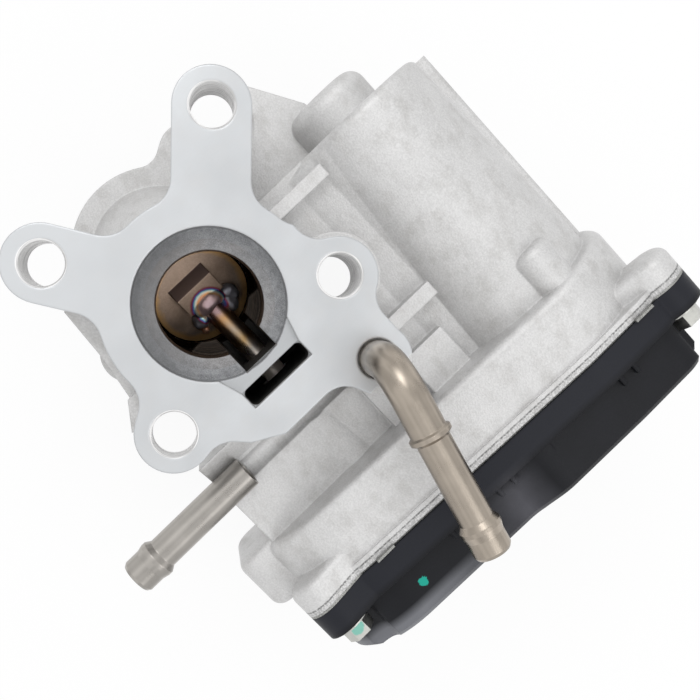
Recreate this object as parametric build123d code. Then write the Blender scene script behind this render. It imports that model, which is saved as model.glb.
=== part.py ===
"""Motor driven EGR valve: cast housing, tilted butterfly on a geared shaft, coolant pipes, gear cover.

Origin: centre of the gas port on the mounting face of the flange.
+Z leaves the flange, +X runs along the valve shaft to the gear cover, +Y points to the motor side.
"""
from build123d import *
from math import acos, atan2, cos, degrees, hypot, pi, radians, sin, tan
import os

# Fits, in mm
RUNNING_FIT = 0.03

# Mounting flange
FLANGE_THICKNESS = 11.0
FLANGE_BODY_RADIUS = 24.9
LUG_RADIUS = 8.9
FLANGE_HOLE_RADIUS = 5.0
HOLE_CHAMFER = 0.5
FAR_PAIR_X = -31.5
FAR_PAIR_SPACING = 51.2
FAR_PAIR_MID_Y = 5.4
NEAR_PAIR_X = 15.5
NEAR_PAIR_SPACING = 51.8
FLANGE_EDGE_X = 33.0
OUTLINE_FILLET = 7.0
SPOT_FACE_RADIUS = 10.5
SPOT_FACE_REACH = 40.0
NEAR_BOSS_RADIUS = 10.3
BODY_WALL_Z = -33.0

# Gas port and chamber
PORT_RADIUS = 17.5
LEDGE_DEPTH = 6.0
BORE_RADIUS = 12.5
SHAFT_Z = -27.0
DISC_X = -3.4
DISC_TILT = 28.0
DISC_RADIUS = 12.2
DISC_THICKNESS = 3.0
DISC_BOSS_WIDTH = 10.8
DISC_BOSS_HEIGHT = 2.5
DISC_BOSS_BACK = 7.0
DISC_BOSS_FRONT = -1.0
DISC_PAD_HEIGHT = 3.0
REAR_FACE_Z = -56.0
REAR_FLANGE_THICKNESS = 10.0
REAR_FLANGE_RADIUS = 23.0
REAR_LUG_RADIUS = 8.0
REAR_HOLE_PCD_RADIUS = 28.0
REAR_HOLE_ANGLE = 120.0
REAR_HOLE_RADIUS = 3.4
DUCT_WALL = 6.0
NOZZLE_WALL = 1.5
NOZZLE_RIM = 1.2
NOZZLE_LENGTH = 9.0

# Valve shaft line, along X
SHAFT_RADIUS = 3.0
SHAFT_START_X = -6.0
SHAFT_SLOT_WIDTH = 9.4
SLOT_END_X = 17.2
WELL_X = 21.9
WELL_WIDTH = 4.4
WELL_LENGTH = 17.6
WELL_DEPTH = 34.0
BUSH_X = 25.5
BUSH_LENGTH = 7.0
BUSH_RADIUS = 4.5
SEAL_X = 40.5
SEAL_LENGTH = 4.0
BEARING_X = 46.0
BEARING_WIDTH = 5.0
BEARING_RADIUS = 6.5
BEARING_BALLS = 8
SHAFT_BOSS_RADIUS = 10.0

# Gear case, stacked along X
CASE_BACK_X = 53.0
CASE_WALL = 3.3
GASKET_X = 71.0
GASKET_THICKNESS = 0.6
RIM_WIDTH = 0.8
RIM_LENGTH = 2.6
COVER_BAND = 7.0
COVER_HEADROOM = 14.4
COVER_WALL = 2.6
DOME_INSET = 1.5
DOME_CHAMFER = 1.4
VALVE_END_Y = -11.0
VALVE_END_Z = -31.0
VALVE_END_RADIUS = 24.5
MOTOR_END_SHIFT = -1.3
MOTOR_END_RADIUS = 28.2
CORNER_Y = 72.0
CORNER_Z = -8.5
CORNER_RADIUS = 10.5
SHOULDER_Y = 34.0
SHOULDER_Z = -13.0
SHOULDER_RADIUS = 14.0
COVER_SCREW_RADIUS = 2.0
COVER_SCREW_LENGTH = 13.0
COVER_EAR_RADIUS = 6.5
EAR_LENGTH = 7.5

# Motor
MOTOR_Y = 58.3
MOTOR_Z = -26.0
MOTOR_RADIUS = 17.8
MOTOR_BORE_RADIUS = 18.1
MOTOR_SHELL_RADIUS = 21.0
SHELL_DRAFT = 1.8
PARTING_EDGE_Y = 82.6
MOTOR_BACK_X = -9.7
END_BOSS_SHIFT = -2.5
END_BOSS_RADIUS = 11.5
END_BOSS_LENGTH = 9.1
MOTOR_SCREW_ANGLE = 76.0
MOTOR_SCREW_PCD_RADIUS = 20.4
MOTOR_SCREW_RADIUS = 1.6
MOTOR_SCREW_LENGTH = 9.0
MOTOR_EAR_RADIUS = 3.4
ARMATURE_SHAFT_RADIUS = 1.6

# Gear train
PRESSURE_ANGLE = 25.0
VALVE_MODULE = 1.0
SECTOR_TEETH = 48
PINION_TEETH = 12
MOTOR_MODULE = 0.8
WHEEL_TEETH = 64
MOTOR_PINION_TEETH = 12
BACKLASH = 0.16
VALVE_TRAVEL = 60.0
SECTOR_X = 64.0
SECTOR_WIDTH = 6.0
WHEEL_X = 72.9
WHEEL_WIDTH = 4.2
GEAR_PIN_RADIUS = 2.5

# Coolant pipes
CHANNEL_X = 35.4
CHANNEL_Z = -15.0
CHANNEL_RADIUS = 3.4
CHANNEL_SHELL_RADIUS = 7.0
CHANNEL_END_Y = 5.0
CHANNEL_BOSS_RADIUS = 8.2
CHANNEL_BOSS_END_Y = -16.8
UPPER_PIPE_Y = 19.1
UPPER_PIPE_HEIGHT = 16.5
UPPER_PIPE_ANGLE = -14.6
UPPER_PIPE_REACH = 47.5
PIPE_BEND = 9.0
PIPE_RADIUS = 4.0
SLEEVE_RADIUS = 4.3
PIPE_WALL = 0.8
PIPE_SEAT = 8.0
SLEEVE_LENGTH = 8.5
BARB_LENGTH = 8.5
LOWER_PIPE_START_Y = -29.5
LOWER_PIPE_END_Y = -58.0

# Inside the gear case
WELD_START_X = -1.6
WELD_LENGTH = 4.0
WELD_RADIUS = 5.0
SEAL_RING_WIDTH = 1.0
PLATE_X = 66.0
PLATE_THICKNESS = 1.6
SHAFT_STUB_RADIUS = 2.4
HUB_RADIUS = 8.2
HUB_BORE_RADIUS = 6.4
HUB_END_X = 72.2
YOKE_X = 68.2
YOKE_BORE_RADIUS = 4.6
SECTOR_MARGIN = 5.0
SPRING_SPOOL_RADIUS = 5.0
SPRING_RADIUS = 6.6
SPRING_WIRE_RADIUS = 0.6
SPRING_X = 57.6
SPRING_LENGTH = 5.0
BALL_TRACK = 4.75
BALL_RADIUS = 1.25
PIN_END_GAP = 8.5
SENSOR_STEM_RADIUS = 2.4
SENSOR_TOWER_RADIUS = 6.0
SENSOR_TOWER_HEIGHT = 12.5
CONNECTOR_Y = -4.0
CONNECTOR_TOP_Z = -40.0
CONNECTOR_END_Z = -72.0
CONNECTOR_WIDTH = 25.0
CONNECTOR_THICKNESS = 14.0
CONNECTOR_WALL = 1.75
SOCKET_DEPTH = 12.0
PIN_PITCH = 3.8
CLIP_WIDTH = 2.2

# Inside the motor
CAN_BACK_X = -5.6
CAN_FRONT_X = 53.0
CAN_WALL = 1.2
MAGNET_BORE_RADIUS = 13.4
MAGNET_GAP = 12.0
ARMATURE_RADIUS = 12.9
ARMATURE_START = 9.0
ARMATURE_END = 15.0
COIL_LENGTH = 3.5
SLOT_RADIUS = 2.7
SLOT_MOUTH = 1.4
COMMUTATOR_RADIUS = 4.0
BRUSH_WIDTH = 3.6
BRUSH_HEIGHT = 6.0
REAR_BUSH_RADIUS = 4.0
FRONT_BUSH_RADIUS = 4.5
PLATE_HUB_RADIUS = 6.5
PLATE_HUB_HEIGHT = 4.2
MOTOR_PLATE_THICKNESS = 1.6


def along_x(sketch, start, end):
    """Extrude a sketch drawn in (Y, Z) from one X station to another."""
    return extrude(Plane.YZ.offset(start) * sketch, amount=end - start, dir=(1, 0, 0))


def along_y(sketch, start, end):
    """Extrude a sketch drawn in (X, Z) from one Y station to another."""
    return extrude(Plane.XZ.offset(-start) * sketch, amount=end - start, dir=(0, 1, 0))


def along_z(sketch, start, end):
    """Extrude a sketch drawn in (X, Y) from one Z station to another."""
    return extrude(Plane.XY.offset(start) * sketch, amount=end - start, dir=(0, 0, 1))


def rod_x(radius, start, end, y, z):
    return along_x(Pos(y, z) * Circle(radius), start, end)


def rod_z(radius, start, end, x, y):
    return along_z(Pos(x, y) * Circle(radius), start, end)


def ring_x(outer, inner, start, end, y, z):
    return along_x(Pos(y, z) * (Circle(outer) - Circle(inner)), start, end)


def round_concave(sketch, radius):
    """Round the inner corners of an outline and leave the outer ones."""
    return offset(offset(sketch, radius, kind=Kind.ARC), -radius, kind=Kind.ARC)


def around(centre, radius, angle):
    """Point at a radius and an angle in degrees from a centre."""
    return (centre[0] + radius * cos(radians(angle)), centre[1] + radius * sin(radians(angle)))


def capsule(start, end, radius):
    """Slot shaped outline between two centres."""
    length = hypot(end[0] - start[0], end[1] - start[1])
    turn = degrees(atan2(end[1] - start[1], end[0] - start[0]))
    middle = Pos((start[0] + end[0]) / 2, (start[1] + end[1]) / 2)
    return middle * Rot(0, 0, turn) * SlotCenterToCenter(length, 2 * radius)


# Flange holes, far pair then near pair
FLANGE_HOLES = [
    (FAR_PAIR_X, FAR_PAIR_MID_Y + FAR_PAIR_SPACING / 2),
    (FAR_PAIR_X, FAR_PAIR_MID_Y - FAR_PAIR_SPACING / 2),
    (NEAR_PAIR_X, NEAR_PAIR_SPACING / 2),
    (NEAR_PAIR_X, -NEAR_PAIR_SPACING / 2),
]
LUG_DEPTHS = [14.0, 12.5, 18.0, 6.0]

# Gear train centres in (Y, Z), from the pitch radii
SHAFT_AT = (0.0, SHAFT_Z)
MOTOR_AT = (MOTOR_Y, MOTOR_Z)
SECTOR_PITCH = VALVE_MODULE * SECTOR_TEETH / 2
PINION_PITCH = VALVE_MODULE * PINION_TEETH / 2
WHEEL_PITCH = MOTOR_MODULE * WHEEL_TEETH / 2
MOTOR_PINION_PITCH = MOTOR_MODULE * MOTOR_PINION_TEETH / 2
VALVE_CENTRES = SECTOR_PITCH + PINION_PITCH
MOTOR_CENTRES = WHEEL_PITCH + MOTOR_PINION_PITCH
SHAFT_TO_MOTOR = hypot(MOTOR_Y, MOTOR_Z - SHAFT_Z)
MOTOR_BEARING = degrees(atan2(MOTOR_Z - SHAFT_Z, MOTOR_Y))
MESH_OFFSET = degrees(
    acos((VALVE_CENTRES**2 + SHAFT_TO_MOTOR**2 - MOTOR_CENTRES**2) / (2 * VALVE_CENTRES * SHAFT_TO_MOTOR))
)
SECTOR_MESH = MOTOR_BEARING - MESH_OFFSET
GEAR_AT = around(SHAFT_AT, VALVE_CENTRES, SECTOR_MESH)
MOTOR_MESH = degrees(atan2(GEAR_AT[1] - MOTOR_Z, GEAR_AT[0] - MOTOR_Y))

# Gear case outline centres and radii
WHEEL_TIP = WHEEL_PITCH + 0.9 * MOTOR_MODULE
GEAR_END_RADIUS = WHEEL_TIP + 1.0 + COVER_WALL + DOME_INSET
VALVE_END_AT = (VALVE_END_Y, VALVE_END_Z)
MOTOR_END_AT = (MOTOR_Y + MOTOR_END_SHIFT, MOTOR_Z)
CORNER_AT = (CORNER_Y, CORNER_Z)
SHOULDER_AT = (SHOULDER_Y, SHOULDER_Z)
CASE_MIDDLE = (VALVE_CENTRES, SHAFT_Z)
COVER_BACK_X = GASKET_X + GASKET_THICKNESS
COVER_STEP_X = COVER_BACK_X + COVER_BAND
COVER_END_X = WHEEL_X + WHEEL_WIDTH + COVER_HEADROOM
PIN_END_X = COVER_END_X - PIN_END_GAP
CONNECTOR_X = COVER_END_X - 9
SENSOR_TOWER_X = COVER_END_X - SENSOR_TOWER_HEIGHT
CASE_FLOOR_X = CASE_BACK_X + CASE_WALL
PLATE_HUB_END_X = CASE_FLOOR_X + PLATE_HUB_HEIGHT
COVER_SCREWS = [
    around(MOTOR_END_AT, MOTOR_END_RADIUS + 5.2, 42),
    around(MOTOR_END_AT, MOTOR_END_RADIUS + 1.5, -38),
    around(GEAR_AT, GEAR_END_RADIUS + 3.4, -62),
    around(GEAR_AT, GEAR_END_RADIUS + 3.4, -122),
    around(VALVE_END_AT, VALVE_END_RADIUS + 1.5, 215),
    around(VALVE_END_AT, VALVE_END_RADIUS + 1.7, 132),
]
MOTOR_SCREWS = [
    around(MOTOR_AT, MOTOR_SCREW_PCD_RADIUS, MOTOR_SCREW_ANGLE),
    around(MOTOR_AT, MOTOR_SCREW_PCD_RADIUS, MOTOR_SCREW_ANGLE + 180),
]

# Gas passage
DISC_AT = Vector(DISC_X, 0, SHAFT_Z)
PASSAGE_DOWN = Vector(-sin(radians(DISC_TILT)), 0, -cos(radians(DISC_TILT)))
PASSAGE = Plane(origin=DISC_AT, x_dir=(0, 1, 0), z_dir=-PASSAGE_DOWN)
NOZZLE_RADIUS = DISC_RADIUS + 0.45
PASSAGE_RADIUS = NOZZLE_RADIUS + NOZZLE_WALL
REAR_X = DISC_X - (SHAFT_Z - REAR_FACE_Z) * tan(radians(DISC_TILT))
REAR_LENGTH = (SHAFT_Z - REAR_FACE_Z) / cos(radians(DISC_TILT))
REAR_HOLES = [around((REAR_X, 0), REAR_HOLE_PCD_RADIUS, REAR_HOLE_ANGLE + turn) for turn in (0, 180)]


def flange_outline():
    outline = Circle(FLANGE_BODY_RADIUS)
    for hole in FLANGE_HOLES:
        outline += capsule((0, 0), hole, LUG_RADIUS)
    edge_block = Polygon(
        (0, -20), (20, -23), (29, -15), (FLANGE_EDGE_X, -8), (FLANGE_EDGE_X, 12), (20, 20), (0, 26),
        align=None,
    )
    pipe_boss = Pos(CHANNEL_X, UPPER_PIPE_Y) * Circle(8.2)
    bridge = Polygon((18, 10), (CHANNEL_X, 11), (CHANNEL_X + 1.6, 27.1), (20, 27.3), align=None)
    return round_concave(outline + edge_block + pipe_boss + bridge, OUTLINE_FILLET)


def hull_round(ends, grow):
    """Hull in (Y, Z) round circles given as (centre, radius), all of them grown by one amount."""
    edges = []
    for centre, radius in ends:
        edges += (Pos(*centre) * Circle(radius + grow)).edges()
    return make_hull(edges)


def case_outline(grow=0.0):
    """Wall of the gear case round the valve gear, the intermediate gear and the motor."""
    ends = [(VALVE_END_AT, VALVE_END_RADIUS), (GEAR_AT, GEAR_END_RADIUS), (MOTOR_END_AT, MOTOR_END_RADIUS)]
    return hull_round(ends, grow)


def rim_outline(grow=0.0):
    """Joint face of case and cover: the case with a squarer corner at the motor end, and screw ears."""
    ends = [
        (VALVE_END_AT, VALVE_END_RADIUS),
        (GEAR_AT, GEAR_END_RADIUS),
        (MOTOR_END_AT, MOTOR_END_RADIUS),
        (CORNER_AT, CORNER_RADIUS),
    ]
    outline = hull_round(ends, grow)
    for screw in COVER_SCREWS:
        outline += ear_outline(screw)
    return outline


def ear_outline(screw):
    """Tab round a cover screw, drawn out of the middle of the case."""
    reach = hypot(CASE_MIDDLE[0] - screw[0], CASE_MIDDLE[1] - screw[1])
    share = 1.5 * COVER_EAR_RADIUS / reach
    root = tuple(screw[i] + (CASE_MIDDLE[i] - screw[i]) * share for i in (0, 1))
    return capsule(root, screw, COVER_EAR_RADIUS)


def dome_outline():
    """Raised part of the cover: a low lobe over the valve shaft and a high one over wheel and motor."""
    low = hull_round([(VALVE_END_AT, VALVE_END_RADIUS), (GEAR_AT, GEAR_END_RADIUS)], -DOME_INSET)
    high = hull_round(
        [
            (GEAR_AT, GEAR_END_RADIUS),
            (SHOULDER_AT, SHOULDER_RADIUS),
            (MOTOR_END_AT, MOTOR_END_RADIUS),
            (CORNER_AT, CORNER_RADIUS),
        ],
        -DOME_INSET,
    )
    return round_concave(low + high, 8)


def flange_and_chamber():
    body = along_z(flange_outline(), -FLANGE_THICKNESS, 0)
    for hole, depth in zip(FLANGE_HOLES, LUG_DEPTHS):
        if depth > FLANGE_THICKNESS:
            body += rod_z(LUG_RADIUS, -depth, -FLANGE_THICKNESS, *hole)
    body += rod_z(NEAR_BOSS_RADIUS, -LUG_DEPTHS[2], -5, *FLANGE_HOLES[2])
    body += rod_z(FLANGE_BODY_RADIUS - 2, BODY_WALL_Z, -FLANGE_THICKNESS, 0, 0)
    side_wall = Polygon((-24, -18), (-21.5, -25.3), (-8, -26.5), (3, -28.5), (3, 0), (-24, 0), align=None)
    body += along_z(side_wall, BODY_WALL_Z, -FLANGE_THICKNESS)
    lug_rib = Polygon((3, -28.5), (9, -33), (12, -28), (3, -18), align=None)
    body += along_z(lug_rib, -14, -5)
    duct = extrude(PASSAGE * Circle(PASSAGE_RADIUS + DUCT_WALL), amount=-REAR_LENGTH - 15)
    duct += extrude(PASSAGE * Circle(PASSAGE_RADIUS + DUCT_WALL), amount=6)
    rear = Pos(REAR_X, 0) * Circle(REAR_FLANGE_RADIUS)
    for hole in REAR_HOLES:
        rear += capsule((REAR_X, 0), hole, REAR_LUG_RADIUS)
    rear = round_concave(rear, 6)
    body += duct + along_z(rear, REAR_FACE_Z, REAR_FACE_Z + REAR_FLANGE_THICKNESS)
    below = Pos(0, 0, REAR_FACE_Z - 30) * Box(300, 300, 60)
    return body - below


def neck_and_webs():
    """Casting between the port, the motor and the gear case, with the coolant gallery on top."""
    case_side = CASE_BACK_X + 1
    section = Polygon(
        (27, -14), (32, -17), (case_side, -18), (case_side, -40), (31, -44), (27, -41), align=None
    )
    neck = along_y(section, LOWER_PIPE_START_Y, 26)
    well_block = Pos(20, -27) * Rectangle(17, 34)
    neck += along_y(well_block, -WELL_LENGTH / 2 - 4, WELL_LENGTH / 2 + 4)
    neck += rod_x(SHAFT_BOSS_RADIUS, 10, CASE_FLOOR_X, *SHAFT_AT)
    neck += rod_z(8.2, -26, -FLANGE_THICKNESS, CHANNEL_X, UPPER_PIPE_Y)
    upper_web = Rectangle(case_side - MOTOR_BACK_X, 33, align=(Align.MIN, Align.MIN))
    neck += along_z(Pos(MOTOR_BACK_X, 12) * upper_web, -26, -14)
    lower_web = Polygon((-33, 26), (-33, 44), (-20, 52), (-5, 56), (-5, 14), (-20, 14), align=None)
    neck += along_z(lower_web, -36, -26)
    for rib_x, rib_width in ((-4.5, 3.4), (33.6, 3.8)):
        rib = Pos(rib_x, 33) * Rectangle(rib_width, 17)
        neck += along_z(rib, -20, -9)
    return neck + along_z(Pos(48, 30.5) * Rectangle(12, 12), -20, -10)


def coolant_gallery():
    """Gallery with a round end under the flange, a boss for the lower pipe, and a ridge beside it."""
    channel = Pos(CHANNEL_X, CHANNEL_Z) * Circle(CHANNEL_SHELL_RADIUS)
    gallery = along_y(channel, CHANNEL_BOSS_END_Y - 2, CHANNEL_END_Y)
    gallery += Pos(CHANNEL_X, CHANNEL_END_Y, CHANNEL_Z) * Sphere(CHANNEL_SHELL_RADIUS)
    boss = Pos(CHANNEL_X, CHANNEL_Z) * Circle(CHANNEL_BOSS_RADIUS)
    boss = along_y(boss, LOWER_PIPE_START_Y, CHANNEL_BOSS_END_Y)
    gallery += fillet(boss.edges().group_by(Axis.Y)[-1], 2.5)
    ridge_x, ridge_z = CHANNEL_X + 10.4, CHANNEL_Z - 5.5
    gallery += along_y(Pos(ridge_x, ridge_z) * Circle(6.3), CHANNEL_BOSS_END_Y - 7, 26)
    lobe = Pos(ridge_x + 0.9, ridge_z + 2.2) * Circle(5.2)
    lobe = along_y(lobe, LOWER_PIPE_START_Y, CHANNEL_BOSS_END_Y - 5.7)
    return gallery + fillet(lobe.edges().group_by(Axis.Y)[-1], 1.5)


def motor_shell():
    """Drafted shell round the motor, with a parting edge, a flank down to the web and an end boss."""
    length = CASE_FLOOR_X - MOTOR_BACK_X
    cone = Cone(MOTOR_SHELL_RADIUS, MOTOR_SHELL_RADIUS + SHELL_DRAFT, length)
    shell = Pos(MOTOR_BACK_X + length / 2, *MOTOR_AT) * Rot(0, 90, 0) * cone
    shell = fillet(shell.edges().group_by(Axis.X)[0], 2.5)
    flank = Polygon(
        (MOTOR_Y - 24.8, -27), (MOTOR_Y - 24.8, -14), (MOTOR_Y - 17.3, -12), (MOTOR_Y - 9.3, -7.4),
        (MOTOR_Y, -7.4), (MOTOR_Y, -27), align=None,
    )
    flank = along_x(flank, MOTOR_BACK_X, CASE_BACK_X + 1)
    shell += chamfer(flank.edges().group_by(Axis.X)[0].filter_by(lambda edge: edge.center().Z > -14), 1.8)
    edge_top = MOTOR_Z + 2.5
    edge = Polygon(
        (MOTOR_Y, MOTOR_Z - 2.5), (PARTING_EDGE_Y, MOTOR_Z - 2.5), (PARTING_EDGE_Y, edge_top - 0.8),
        (PARTING_EDGE_Y - 0.8, edge_top), (MOTOR_Y, edge_top), align=None,
    )
    shell += along_x(edge, MOTOR_BACK_X + 1.5, CASE_BACK_X + 1)
    boss_back = MOTOR_BACK_X - END_BOSS_LENGTH
    boss = rod_x(END_BOSS_RADIUS, boss_back, MOTOR_BACK_X + 1, MOTOR_Y + END_BOSS_SHIFT, MOTOR_Z)
    shell += fillet(boss.edges().group_by(Axis.X)[0], 4.0)
    for screw in MOTOR_SCREWS:
        pad = rod_x(5.8, CASE_BACK_X - 11, CASE_FLOOR_X, *screw)
        shell += fillet(pad.edges().group_by(Axis.X)[0], 2.5)
    return shell


def gear_case():
    """Case behind the gasket, with its rim, screw ears and the bulge at the valve end."""
    case = along_x(case_outline(), CASE_BACK_X, GASKET_X)
    case = fillet(case.edges().group_by(Axis.X)[0], 2.5)
    case += along_x(rim_outline(RIM_WIDTH), GASKET_X - RIM_LENGTH, GASKET_X)
    for screw in COVER_SCREWS:
        ear = along_x(ear_outline(screw), GASKET_X - EAR_LENGTH, GASKET_X)
        case += fillet(ear.edges().group_by(Axis.X)[0], 2.5)
    bulge = Pos(VALVE_END_Y - 21.5, VALVE_END_Z) * RectangleRounded(16, 26, 5)
    bulge = along_x(bulge, CASE_BACK_X - 1.5, GASKET_X - 3.5)
    case += fillet(bulge.edges().group_by(Axis.X)[0] + bulge.edges().group_by(Axis.X)[-1], 3.0)
    case += rod_x(7.0, CASE_BACK_X - 5, CASE_BACK_X + 1, *GEAR_AT)
    return case


def housing_cuts():
    """Everything that is bored or cored out of the casting."""
    cuts = rod_z(PORT_RADIUS, -LEDGE_DEPTH, 1, 0, 0)
    cuts += rod_z(BORE_RADIUS, SHAFT_Z + 8, 0, 0, 0)
    cuts += Pos(DISC_AT) * Sphere(PASSAGE_RADIUS)
    cuts += extrude(PASSAGE * Circle(PASSAGE_RADIUS), amount=11)
    cuts += extrude(PASSAGE * Circle(PASSAGE_RADIUS), amount=-REAR_LENGTH - 15)
    slot = Pos(SLOT_END_X / 2, 0) * Rectangle(SLOT_END_X, SHAFT_SLOT_WIDTH)
    cuts += along_z(slot, SHAFT_Z - SHAFT_RADIUS - 1.5, 0)
    well_end = WELL_X + WELL_WIDTH / 2
    well_start = WELL_X - WELL_WIDTH / 2
    mouth = Polygon(
        (10, -11.8), (well_start, -WELL_LENGTH / 2 - 0.1), (well_end, -WELL_LENGTH / 2 - 0.1),
        (well_end, WELL_LENGTH / 2 + 0.1), (well_start, WELL_LENGTH / 2 + 0.1), (10, 11.8), align=None,
    )
    cuts += along_z(mouth, -2, 1)
    well = Pos(WELL_X, 0) * RectangleRounded(WELL_WIDTH, WELL_LENGTH, 1.4)
    cuts += along_z(well, -WELL_DEPTH, 0)
    cuts += rod_x(SHAFT_RADIUS + 0.4, SLOT_END_X - 1, CASE_FLOOR_X, *SHAFT_AT)
    cuts += rod_x(BUSH_RADIUS, WELL_X, BUSH_X + BUSH_LENGTH, *SHAFT_AT)
    cuts += rod_x(BEARING_RADIUS, SEAL_X, CASE_FLOOR_X + 1, *SHAFT_AT)
    cuts += along_x(case_outline(-CASE_WALL), CASE_FLOOR_X, GASKET_X + 1)
    cuts += rod_x(MOTOR_BORE_RADIUS, MOTOR_BACK_X + 3.2, CASE_FLOOR_X + 1, *MOTOR_AT)
    cuts += rod_x(7.4, MOTOR_BACK_X - 4.5, MOTOR_BACK_X + 4, *MOTOR_AT)
    for screw in MOTOR_SCREWS:
        cuts += rod_x(MOTOR_SCREW_RADIUS, CASE_FLOOR_X - MOTOR_SCREW_LENGTH, CASE_FLOOR_X + 1, *screw)
    cuts += rod_x(GEAR_PIN_RADIUS, CASE_BACK_X - 2, CASE_FLOOR_X + 1, *GEAR_AT)
    for screw in COVER_SCREWS:
        cuts += rod_x(COVER_SCREW_RADIUS, COVER_STEP_X - COVER_SCREW_LENGTH - 0.7, GASKET_X + 1, *screw)
    channel = Pos(CHANNEL_X, CHANNEL_Z)
    cuts += along_y(channel * Circle(CHANNEL_RADIUS), LOWER_PIPE_START_Y - 1, UPPER_PIPE_Y)
    cuts += along_y(channel * Circle(PIPE_RADIUS), LOWER_PIPE_START_Y - 1, LOWER_PIPE_START_Y + PIPE_SEAT)
    cuts += rod_z(CHANNEL_RADIUS, CHANNEL_Z - CHANNEL_RADIUS, 1, CHANNEL_X, UPPER_PIPE_Y)
    cuts += rod_z(SLEEVE_RADIUS, -PIPE_SEAT, 1, CHANNEL_X, UPPER_PIPE_Y)
    cuts += rod_z(SLEEVE_RADIUS + 0.5, -1.5, 1, CHANNEL_X, UPPER_PIPE_Y)
    for hole, depth in zip(FLANGE_HOLES, LUG_DEPTHS):
        cuts += rod_z(FLANGE_HOLE_RADIUS, -SPOT_FACE_REACH, 1, *hole)
        rim = Pos(hole[0], hole[1], -HOLE_CHAMFER / 2)
        cuts += rim * Cone(FLANGE_HOLE_RADIUS, FLANGE_HOLE_RADIUS + HOLE_CHAMFER, HOLE_CHAMFER)
        cuts += rod_z(SPOT_FACE_RADIUS, -SPOT_FACE_REACH, -depth, *hole)
    for hole in REAR_HOLES:
        cuts += rod_z(REAR_HOLE_RADIUS, REAR_FACE_Z - 1, REAR_FACE_Z + REAR_FLANGE_THICKNESS + 1, *hole)
    return cuts


def valve_housing():
    casting = flange_and_chamber() + neck_and_webs() + coolant_gallery() + motor_shell() + gear_case()
    return casting - housing_cuts()


def port_nozzle():
    """Seat ring pressed into the tilted passage, its rim just above the closed disc."""
    tube = Circle(PASSAGE_RADIUS) - Circle(NOZZLE_RADIUS)
    nozzle = extrude(PASSAGE.offset(NOZZLE_RIM) * tube, amount=-NOZZLE_LENGTH)
    return nozzle


def valve_disc():
    """Disc with a spherical rim, a seal groove, a wedge boss that the shaft enters and a pad below."""
    blank = Sphere(DISC_RADIUS) & Box(4 * DISC_RADIUS, 4 * DISC_RADIUS, DISC_THICKNESS)
    groove_width = SEAL_RING_WIDTH + 0.1
    groove = Cylinder(DISC_RADIUS + 1, groove_width) - Cylinder(DISC_RADIUS - 1.3, groove_width)
    face = DISC_THICKNESS / 2
    top = face + DISC_BOSS_HEIGHT
    boss = Polygon(
        (DISC_BOSS_BACK, 0), (DISC_BOSS_BACK, face), (DISC_BOSS_BACK - DISC_BOSS_HEIGHT, top),
        (DISC_BOSS_FRONT, top), (DISC_BOSS_FRONT, 0), align=None,
    )
    pad = Pos(0.5, -face - DISC_PAD_HEIGHT / 2) * Rectangle(13, DISC_PAD_HEIGHT + 0.2)
    disc = blank - groove + along_x(boss + pad, -DISC_BOSS_WIDTH / 2, DISC_BOSS_WIDTH / 2)
    return PASSAGE.location * disc - rod_x(SHAFT_RADIUS, SHAFT_START_X, DISC_RADIUS, *SHAFT_AT)


def seal_ring():
    """Split metal ring in the disc groove."""
    ring = Cylinder(NOZZLE_RADIUS - 0.03, SEAL_RING_WIDTH)
    ring -= Cylinder(DISC_RADIUS - 1.0, SEAL_RING_WIDTH + 1)
    ring -= Pos(0, DISC_RADIUS, 0) * Box(0.6, 4, 4)
    return PASSAGE.location * ring


def weld_bead():
    """Weld round the shaft where it leaves the boss, above the disc's face."""
    outline = Polygon(
        (0, 0), (0, WELD_RADIUS - 0.6), (1.0, WELD_RADIUS), (0.6 * WELD_LENGTH, WELD_RADIUS - 0.1),
        (0.9 * WELD_LENGTH, WELD_RADIUS - 0.8), (WELD_LENGTH, SHAFT_RADIUS), (WELD_LENGTH, 0), align=None,
    )
    bead = Pos(WELD_START_X, 0, SHAFT_Z) * revolve(Plane.XZ * outline, axis=Axis.X)
    bead -= rod_x(SHAFT_RADIUS, WELD_START_X - 1, WELD_START_X + WELD_LENGTH + 1, *SHAFT_AT)
    above_disc = PASSAGE.location * Pos(0, 0, WELD_RADIUS) * Box(*[2 * WELD_RADIUS] * 3)
    return (bead & above_disc) - valve_disc()


def valve_shaft():
    shaft = rod_x(SHAFT_RADIUS, SHAFT_START_X, PLATE_X, *SHAFT_AT)
    shaft += rod_x(SHAFT_STUB_RADIUS, PLATE_X, PLATE_X + PLATE_THICKNESS + 0.6, *SHAFT_AT)
    return shaft


def shaft_bush():
    return ring_x(BUSH_RADIUS, SHAFT_RADIUS + RUNNING_FIT, BUSH_X, BUSH_X + BUSH_LENGTH, *SHAFT_AT)


def shaft_seal():
    """Rubber seal with a lip that leans on the shaft."""
    lip = Polygon(
        (0, BEARING_RADIUS), (SEAL_LENGTH, BEARING_RADIUS), (SEAL_LENGTH, BEARING_RADIUS - 1),
        (1.2, BEARING_RADIUS - 1), (2.6, SHAFT_RADIUS + 0.7), (2.4, SHAFT_RADIUS + RUNNING_FIT),
        (1.4, SHAFT_RADIUS + RUNNING_FIT), (0, 4.8), align=None,
    )
    return Pos(SEAL_X, 0, SHAFT_Z) * revolve(Plane.XZ * lip, axis=Axis.X)


def bearing_race(outer, inner, ball_track):
    race = ring_x(outer, inner, BEARING_X, BEARING_X + BEARING_WIDTH, *SHAFT_AT)
    track = Torus(ball_track, BALL_RADIUS + 0.04)
    return race - Pos(BEARING_X + BEARING_WIDTH / 2, 0, SHAFT_Z) * Rot(0, 90, 0) * track


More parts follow.
